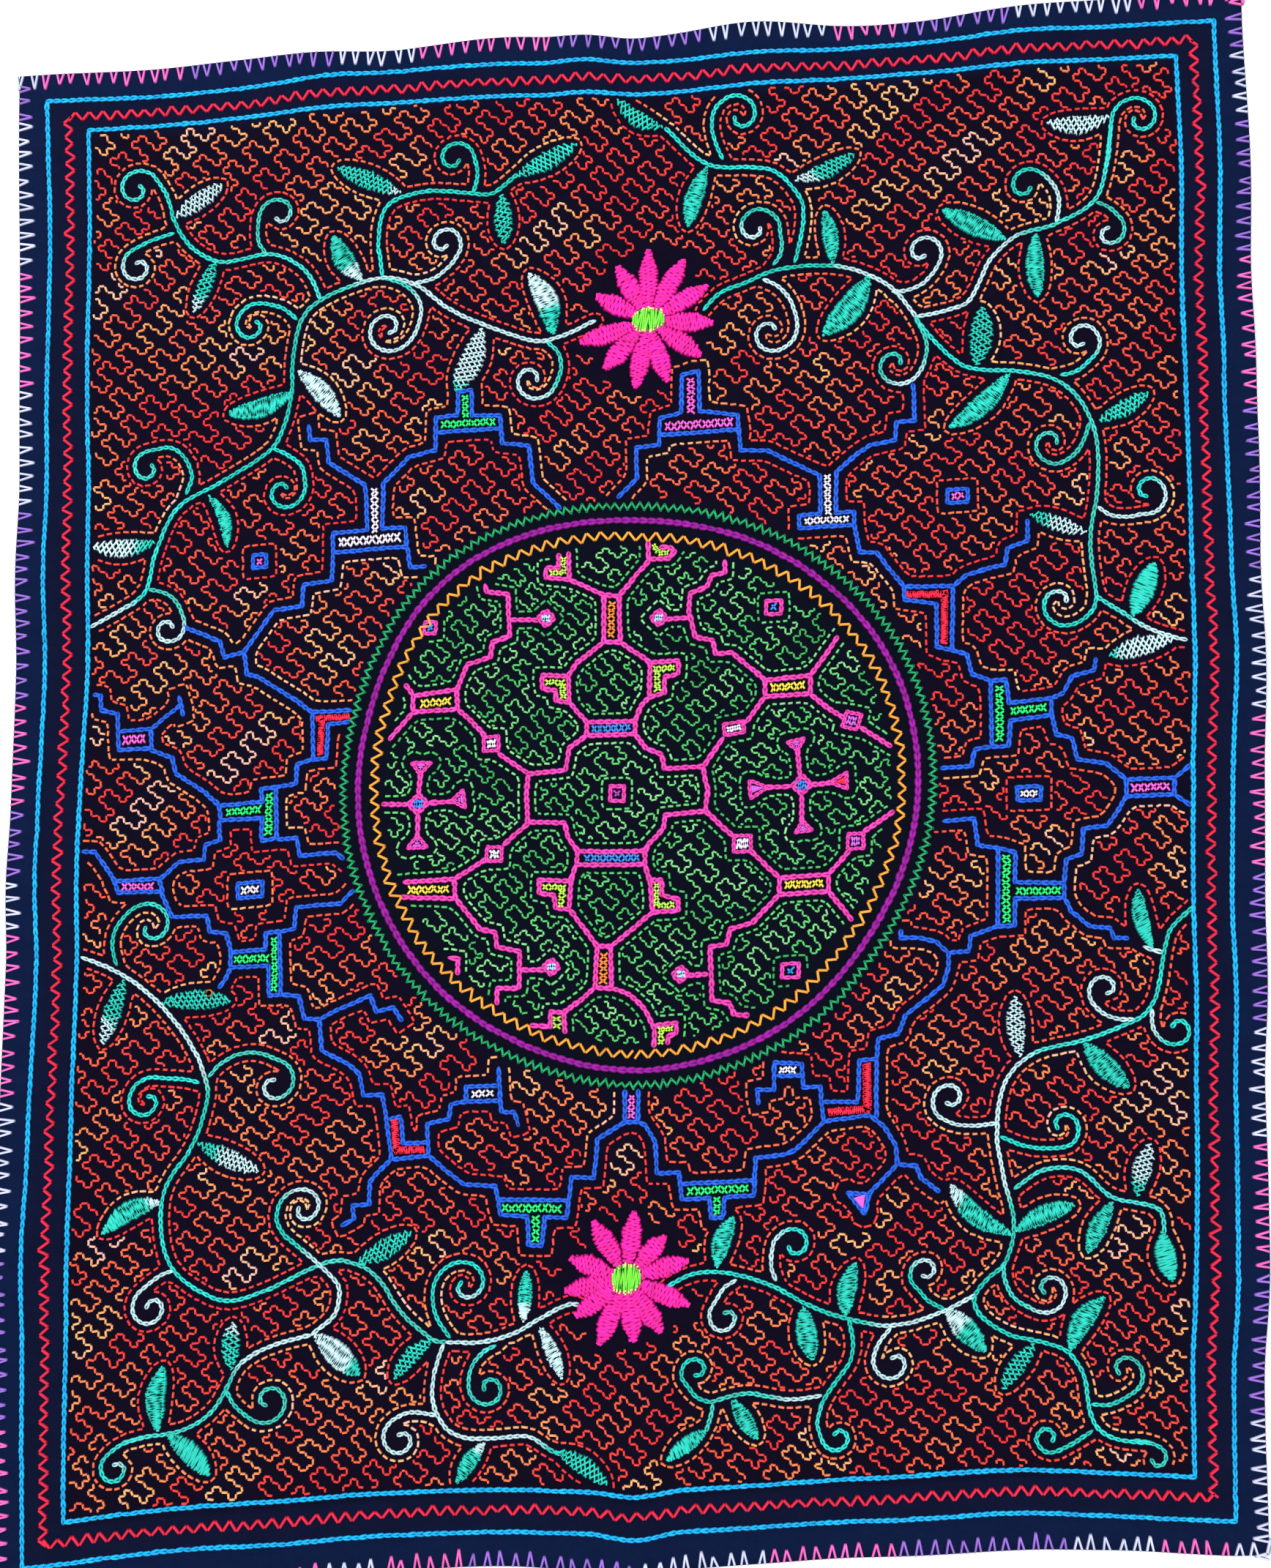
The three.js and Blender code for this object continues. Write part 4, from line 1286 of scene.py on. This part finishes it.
def blunt(share):
    """Half a petal's width at a share of its length: nearly even, then drawn in to a blunt tip."""
    return np.minimum(np.minimum(0.3 + 1.7 * share, (1.0 - share) * 2.4 + 0.26), 1.0)


def petal(centre, heading, reach):
    """One petal, worked from the flower's middle to its tip over a padding of the same yarn, painted darker
    as shade.
    """
    turn = math.radians(heading)
    run = np.array([math.cos(turn), math.sin(turn)])
    centre = np.array(centre, float)
    foot, tip = centre + run * PETAL_FOOT, centre + run * reach
    start, end, _, thick = stroked(foot, tip, PETAL_WIDTH - 1, blunt, 1.3, (0.5,), 1.8)
    # The padding is the petal's magenta at 0.8: painted shade under the top stitches.
    under = sewn(RUNNING, start, end, thick, 0.6, noisy(np.tile(MAGENTA * 0.8, (len(start), 1)), 0.1))
    slants = (rng.uniform(4, 8), rng.uniform(-4, -1))
    start, end, _, thick = stroked(foot, tip, PETAL_WIDTH, blunt, 2.2, slants, 1.95)
    tone = noisy(np.tile(MAGENTA, (len(start), 1)), 0.14)
    BARE_ZONES.append((np.array([centre, centre + run * (reach - 3)]), PETAL_WIDTH / 2 + FLOWER_GAP, False))
    return [under, sewn(RUNNING, start, end, thick, 1.2, tone, rise=rng.uniform(0.2, 0.7, len(start)))]


def flower_middle(centre, half_width, half_height):
    """The oval middle: long stitches from its upper to its lower edge, over darker ones, with pale tips."""
    layers = []
    for count, colour, rise, lean in ((19, CENTRE_GREEN, 0.9, -0.2), (16, CENTRE_LIME, 1.5, 0.1)):
        across = np.linspace(-0.94, 0.94, count)
        half = np.sqrt(1 - across ** 2) * half_height * rng.normal(1, 0.05, count)
        tilt = half_width * (lean + rng.normal(0, 0.13, count)) * (1 - across ** 2)
        top = np.array(centre) + np.c_[across * half_width + tilt, half]
        foot = np.array(centre) + np.c_[across * half_width - tilt, -half]
        tone = noisy(np.tile(colour, (count, 1)), 0.12)
        layers.append(sewn(RUNNING, top, foot, 1.25, 1.1, tone, rise=rise))
    for from_end, to_end in ((top, foot), (foot, top)):
        inward = from_end + (to_end - from_end) * rng.uniform(0.06, 0.18, (count, 1))
        tone = noisy(np.tile(CENTRE_PALE, (count, 1)))
        layers.append(sewn(RUNNING, from_end, inward, 1.3, 1.1, tone, rise=1.6))
    return layers


petals, middles = [], []
for centre, (half_width, half_height), rays in FLOWERS:
    for heading, reach in rays:
        petals += petal(centre, heading, reach)
    middles += flower_middle(centre, half_width, half_height)
magenta_yarn = yarn("magenta_yarn", 1.0, 0.42, 0.12)
lime_yarn = yarn("lime_yarn", 0.9, 0.45, 0.12)
joined("flower_petals", petals, magenta_yarn)
joined("flower_middles", middles, lime_yarn)

# Echo lines
# A running stitch follows every line and leaf at a few millimetres, so that a band of bare cloth sets it off.
# Its route is the line of even distance from the motifs, found on a fine grid and walked from cell to cell.
GRID_STEP = 1.0
GRID_X = np.arange(-345, 346, GRID_STEP)
GRID_Y = np.arange(-438, 439, GRID_STEP)


def distance_from(zones):
    """How far each grid place is outside the nearest zone. Inside a zone it is negative."""
    field = np.full((len(GRID_Y), len(GRID_X)), 30.0)
    for route, gap, squarely in zones:
        runs = np.diff(route, axis=0)
        lengths = np.hypot(*runs.T)
        heading = np.unwrap(np.arctan2(runs[:, 1], runs[:, 0]))
        bends = np.minimum(np.abs(np.diff(heading)), math.pi / 2)
        past = gap * np.r_[1, np.tan(bends / 2), 1]
        for number, (start, run, length) in enumerate(zip(route, runs, lengths)):
            low = np.minimum(start, start + run) - gap - 9
            high = np.maximum(start, start + run) + gap + 9
            columns = slice(*np.searchsorted(GRID_X, (low[0], high[0])))
            rows = slice(*np.searchsorted(GRID_Y, (low[1], high[1])))
            dx, dy = np.meshgrid(GRID_X[columns] - start[0], GRID_Y[rows] - start[1])
            lengthwise = (dx * run[0] + dy * run[1]) / length
            sideways = np.abs(dx * run[1] - dy * run[0]) / length
            overrun = np.maximum(np.maximum(-lengthwise, lengthwise - length), 0)
            away = np.hypot(sideways, overrun) - gap
            if squarely:
                beyond = np.maximum(-lengthwise - past[number], lengthwise - length - past[number + 1])
                away = np.minimum(away, np.maximum(sideways - gap, beyond))
            np.minimum(field[rows, columns], away, out=field[rows, columns])
    return field


def even_lines(field):
    """The routes along which the field is zero."""
    inside = field < 0
    joins = {}

    def crossing(kind, i, j):
        return kind, int(i), int(j)

    changed = (inside[:-1, :-1].astype(int) + inside[:-1, 1:] + inside[1:, :-1] + inside[1:, 1:]) % 4 != 0
    for j, i in zip(*np.nonzero(changed)):
        sides = []
        if inside[j, i] != inside[j, i + 1]:
            sides.append(crossing("across", i, j))
        if inside[j, i + 1] != inside[j + 1, i + 1]:
            sides.append(crossing("up", i + 1, j))
        if inside[j + 1, i] != inside[j + 1, i + 1]:
            sides.append(crossing("across", i, j + 1))
        if inside[j, i] != inside[j + 1, i]:
            sides.append(crossing("up", i, j))
        for first, second in zip(sides[::2], sides[1::2]):
            joins.setdefault(first, []).append(second)
            joins.setdefault(second, []).append(first)
    routes = []
    while joins:
        here = next((key for key, near in joins.items() if len(near) == 1), next(iter(joins)))
        route = []
        while here is not None:
            kind, i, j = here
            a = field[j, i]
            b = field[j, i + 1] if kind == "across" else field[j + 1, i]
            share = a / (a - b)
            x = GRID_X[i] + (share if kind == "across" else 0)
            y = GRID_Y[j] + (0 if kind == "across" else share)
            route.append((x, y))
            near = joins.pop(here, [])
            following = None
            for other in near:
                if other in joins:
                    if here in joins[other]:
                        joins[other].remove(here)
                    following = following or other
            here = following
        if len(route) > 6:
            routes.append(np.array(route))
    return routes


def softened(route, reach=1):
    """A route with the steps of the grid rounded off."""
    closed = np.hypot(*(route[0] - route[-1])) < 2.5
    padded = np.concatenate([route[-reach:], route, route[:reach]]) if closed else np.concatenate(
        [np.repeat(route[:1], reach, 0), route, np.repeat(route[-1:], reach, 0)]
    )
    kernel = np.ones(2 * reach + 1) / (2 * reach + 1)
    return np.c_[np.convolve(padded[:, 0], kernel, "valid"), np.convolve(padded[:, 1], kernel, "valid")]


RED_SHADES = np.array([linear(224, 36, 44), linear(238, 58, 52), linear(244, 88, 60), linear(248, 132, 78),
                       linear(252, 180, 114), linear(248, 184, 164)])
RED_PLACES = (0.0, 0.34, 0.58, 0.76, 0.9, 1.0)
GREEN_SHADES = np.array([linear(52, 160, 80), linear(74, 188, 98), linear(106, 204, 118),
                         linear(146, 216, 144)])
GREEN_PLACES = (0.0, 0.35, 0.7, 1.0)
ECHO_TONE_LENGTH = 70.0
ECHO_INSIDE = 151
ECHO_MARGIN = 4


def shaded(values, places, shades):
    """A shaded yarn's colour at each value from 0 to 1."""
    return np.stack([np.interp(values, places, shades[:, k]) for k in range(3)], axis=-1)


def drift(places, spacing):
    """A slow random drift between 0 and 1 along a thread."""
    knots = rng.uniform(0, 1, int(places.max() / spacing) + 3)
    steps = places / spacing + rng.uniform(0, 1)
    i = steps.astype(int)
    t = steps - i
    t = t * t * (3 - 2 * t)
    return knots[i] * (1 - t) + knots[i + 1] * t


def between_corners(route, reach=3, sharp=50):
    """A route cut at its sharp corners, so that a stitch ends on each of them."""
    before = route[reach:-reach] - route[:-2 * reach]
    after = route[2 * reach:] - route[reach:-reach]
    swing = before[:, 0] * after[:, 1] - before[:, 1] * after[:, 0]
    turn = np.abs(np.degrees(np.arctan2(swing, (before * after).sum(axis=1))))
    cuts = [0, len(route) - 1]
    for place in np.argsort(-turn):
        if turn[place] > sharp and min(abs(place + reach - cut) for cut in cuts) > reach:
            cuts.append(place + reach)
    cuts = sorted(cuts)
    return [route[first:last + 1] for first, last in zip(cuts, cuts[1:])]


def running(route, stitch, gap, in_ring):
    """A dashed line of running stitches along a route, kept to its own side of the rings and frame."""
    starts, ends = [], []
    for part in between_corners(route):
        marks = evenly(part, stitch + gap)
        run = np.diff(marks, axis=0)
        ease = run / np.hypot(*run.T)[:, None] * gap / 2
        starts.append(marks[:-1] + ease)
        ends.append(marks[1:] - ease)
    start, end = np.concatenate(starts), np.concatenate(ends)
    middle = (start + end) / 2
    radius = ring_reach(middle[:, 0], middle[:, 1])
    left, right, bottom, top = INNER_FRAME
    across_ok = (middle[:, 0] > left + ECHO_MARGIN) & (middle[:, 0] < right - ECHO_MARGIN)
    up_ok = (middle[:, 1] > bottom + ECHO_MARGIN) & (middle[:, 1] < top - ECHO_MARGIN)
    keep = (radius < ECHO_INSIDE) if in_ring else (radius > RINGS_OUTSIDE) & across_ok & up_ok
    places = np.arange(len(start)) * (stitch + gap)
    return start[keep], end[keep], places[keep]


echo_field = distance_from(CLEAR_ZONES)
echo_red, echo_green = [], []
for route in even_lines(echo_field):
    route = softened(route)
    for in_ring, stitch, gap, kept in ((False, 3.9, 1.1, echo_red), (True, 3.4, 1.2, echo_green)):
        start, end, places = running(route, stitch, gap, in_ring)
        if len(start) < 5:
            continue
        value = drift(places, ECHO_TONE_LENGTH)
        tone = shaded(value, GREEN_PLACES, GREEN_SHADES) if in_ring else shaded(value, RED_PLACES, RED_SHADES)
        jitter = rng.normal(0, 0.18, start.shape)
        kept.append(sewn(RUNNING, start + jitter, end - jitter, 1.5, 0.75, noisy(tone, 0.07)))
fill_yarn = yarn("shaded_red_yarn", 0.7, 0.5, 0.12)
green_yarn = yarn("shaded_green_yarn", 0.7, 0.5, 0.12)
joined("field_echo", echo_red, fill_yarn)
joined("medallion_echo", echo_green, green_yarn)

# Maze of running stitches
# All the ground that is left is covered by stepping lines of running stitch, each the same few turns over and
# over and each a fixed step from the last, so that together they look like a maze.
TURNS = "LDRDRDLDLULULD"
STEP_OF = {"L": (-1, 0), "R": (1, 0), "U": (0, 1), "D": (0, -1)}
LINE_SHIFT = (5, -2)
LINES = np.arange(-40, 41)
REPEATS = np.arange(-50, 51)
SHORTEST_RUN = 3
LONG_FINGERS = 0.09
EASED_CORNERS = 0.05
MAZE_STITCH = 3.7
MAZE_TONE_LENGTH = 100.0
MAZE_INSIDE = 152.0
MAZE_OUTSIDE = 179.5
MAZE_MARGIN = 2.6


def wander(points):
    """The slow wandering of lines that are sewn by eye."""
    x, y = points[..., 0], points[..., 1]
    shift_x = 1.3 * np.sin(y / 23 + 2 * np.sin(x / 61)) + 0.8 * np.sin(x / 13 + y / 17)
    shift_y = 1.3 * np.sin(x / 27 + 2 * np.sin(y / 53)) + 0.8 * np.sin(y / 15 - x / 19)
    return points + np.stack([shift_x, shift_y], axis=-1)


def maze(unit, centre, unsteady):
    """The corners of every stepping line, a row for each, with fingers drawn out and turns eased."""
    steps = np.array([STEP_OF[turn] for turn in TURNS], float)
    corners = np.cumsum(steps, axis=0) - steps
    path = (np.outer(REPEATS, steps.sum(axis=0))[:, None, :] + corners).reshape(-1, 2)
    path = path + LONG_FINGERS * (path[:, :1] - path[:, 1:]) * (1, -1)
    rows = (np.outer(LINES, LINE_SHIFT)[:, None, :] + path) * unit + centre
    between = (rows[:, :-2] + rows[:, 2:]) / 2
    rows[:, 1:-1] += (between - rows[:, 1:-1]) * EASED_CORNERS
    return wander(rows + rng.normal(0, unsteady, rows.shape))


def maze_fill(unit, centre, unsteady, room, places, shades, bias=0.0):
    """The maze over the ground where it is allowed, in shaded yarn."""
    corners = maze(unit, centre, unsteady)
    start, end = corners[:, :-1].reshape(-1, 2), corners[:, 1:].reshape(-1, 2)
    line, place = np.divmod(np.arange(len(start)), corners.shape[1] - 1)
    start_ok, end_ok = at_places(room, start), at_places(room, end)
    nearly = start + (end - start) * 0.62
    cut_end = start_ok & ~end_ok & at_places(room, nearly)
    end[cut_end] = nearly[cut_end]
    nearly = start + (end - start) * 0.38
    cut_start = end_ok & ~start_ok & at_places(room, nearly)
    start[cut_start] = nearly[cut_start]
    kept = np.flatnonzero((start_ok & end_ok) | cut_end | cut_start)
    run_number = np.cumsum(np.r_[0, np.diff(kept) != 1])
    kept = kept[np.bincount(run_number)[run_number] >= SHORTEST_RUN]
    start, end, line, place = start[kept], end[kept], line[kept], place[kept]
    value = np.empty(len(start))
    for number in np.unique(line):
        mine = line == number
        value[mine] = drift((place[mine] - place[mine].min()) * MAZE_STITCH, MAZE_TONE_LENGTH)
    paler = np.clip(-start[:, 0] / 150 - 1, 0, 1) * bias
    tone = noisy(shaded(np.clip(value + paler, 0, 1), places, shades), 0.06)
    gap = (end - start) * 0.03
    return start + gap, end - gap, tone


def spread(mask):
    """A mask on the grid, grown by one cell each way."""
    grown = mask.copy()
    grown[1:] |= mask[:-1]
    grown[:-1] |= mask[1:]
    grown[:, 1:] |= mask[:, :-1]
    grown[:, :-1] |= mask[:, 1:]
    return grown


def roomy(free, reach):
    """The free ground without its narrow pockets, such as the eye of a curl."""
    taken = ~free
    for _ in range(reach):
        taken = spread(taken)
    room = ~taken
    for _ in range(reach + 1):
        room = spread(room)
    return room & free


def at_places(mask, points):
    """A mask's value at the grid place nearest to each point."""
    column = np.clip(np.rint((points[:, 0] - GRID_X[0]) / GRID_STEP).astype(int), 0, len(GRID_X) - 1)
    row = np.clip(np.rint((points[:, 1] - GRID_Y[0]) / GRID_STEP).astype(int), 0, len(GRID_Y) - 1)
    return mask[row, column]


grid_radius = ring_reach(GRID_X[None, :], GRID_Y[:, None])
left, right, bottom, top = INNER_FRAME
across_ok = (GRID_X > left + MAZE_MARGIN) & (GRID_X < right - MAZE_MARGIN)
up_ok = (GRID_Y > bottom + MAZE_MARGIN) & (GRID_Y < top - MAZE_MARGIN)
in_frame = across_ok[None, :] & up_ok[:, None]
bare_field = distance_from(BARE_ZONES)
field_free = (echo_field > 1.0) & (bare_field > 0) & (grid_radius > MAZE_OUTSIDE) & in_frame
field_room = roomy(field_free, 3)
ring_room = roomy((echo_field > 1.4) & (grid_radius < MAZE_INSIDE), 3)

start, end, tone = maze_fill((3.92, 3.5), (0, 0), 0.3, field_room, RED_PLACES, RED_SHADES, 0.1)
upper = start[:, 1] > 0
for name, part in (("field_maze_upper", upper), ("field_maze_lower", ~upper)):
    stitches = sewn(RUNNING, start[part], end[part], 1.45, 0.75, tone[part])
    joined(name, [stitches], fill_yarn)
start, end, tone = maze_fill((3.2, 3.0), (RING_X, RING_Y), 0.42, ring_room, GREEN_PLACES, GREEN_SHADES)
joined("medallion_maze", [sewn(RUNNING, start, end, 1.3, 0.7, tone)], green_yarn)

# Floor, light and camera
# A plain pale floor under soft studio light, seen from nearly straight above.
# The camera looks down from near the cloth's middle, tilted by a degree or two.
CAMERA_X, CAMERA_Y, CAMERA_HEIGHT = 25.5, -22.3, 731.7
CAMERA_TILT = (1.96, 1.41, -0.03)


def plain(name, colour, roughness):
    material = bpy.data.materials.new(name)
    material.use_nodes = True
    shader = material.node_tree.nodes["Principled BSDF"]
    shader.inputs["Base Color"].default_value = (*colour, 1)
    shader.inputs["Roughness"].default_value = roughness
    return material


clean_start()
bpy.ops.mesh.primitive_plane_add(size=12, location=(0, 0, -0.0002))
floor = bpy.context.object
floor.name = "floor"
floor.data.materials.append(plain("pale_floor", (0.82, 0.83, 0.86), 0.7))
floor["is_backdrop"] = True


def soft_light(name, place, size, power):
    """A square soft box that looks at the middle of the cloth."""
    data = bpy.data.lights.new(name, "AREA")
    data.size = size
    data.energy = power
    light = bpy.data.objects.new(name, data)
    light.location = place
    light.rotation_euler = (Vector((0, 0, 0)) - Vector(place)).to_track_quat("-Z", "Y").to_euler()
    bpy.context.collection.objects.link(light)


soft_light("window_light", (-1.3, 1.2, 1.9), 1.6, 52)
soft_light("fill_light", (1.5, -0.8, 1.7), 1.8, 22)
world = bpy.data.worlds.new("studio")
world.use_nodes = True
world.node_tree.nodes["Background"].inputs["Color"].default_value = (0.93, 0.96, 1.0, 1)
world.node_tree.nodes["Background"].inputs["Strength"].default_value = 0.95
bpy.context.scene.world = world
bpy.context.scene.view_settings.view_transform = "Standard"

camera_data = bpy.data.cameras.new("camera")
camera_data.lens = 28
camera_data.sensor_width = 36
camera = bpy.data.objects.new("camera", camera_data)
camera.location = ((CAMERA_X - MIDDLE_X) * MM, (CAMERA_Y - MIDDLE_Y) * MM, CAMERA_HEIGHT * MM)
tilt = Vector([math.radians(degrees) for degrees in CAMERA_TILT])
camera.rotation_mode = "QUATERNION"
camera.rotation_quaternion = Quaternion(tilt.normalized(), tilt.length)
bpy.context.collection.objects.link(camera)
bpy.context.scene.camera = camera


def corners(bounds):
    return [list(map(float, corner)) for corner in bounds]


{"cad": corners(cad_box), "visual": corners(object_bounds())}
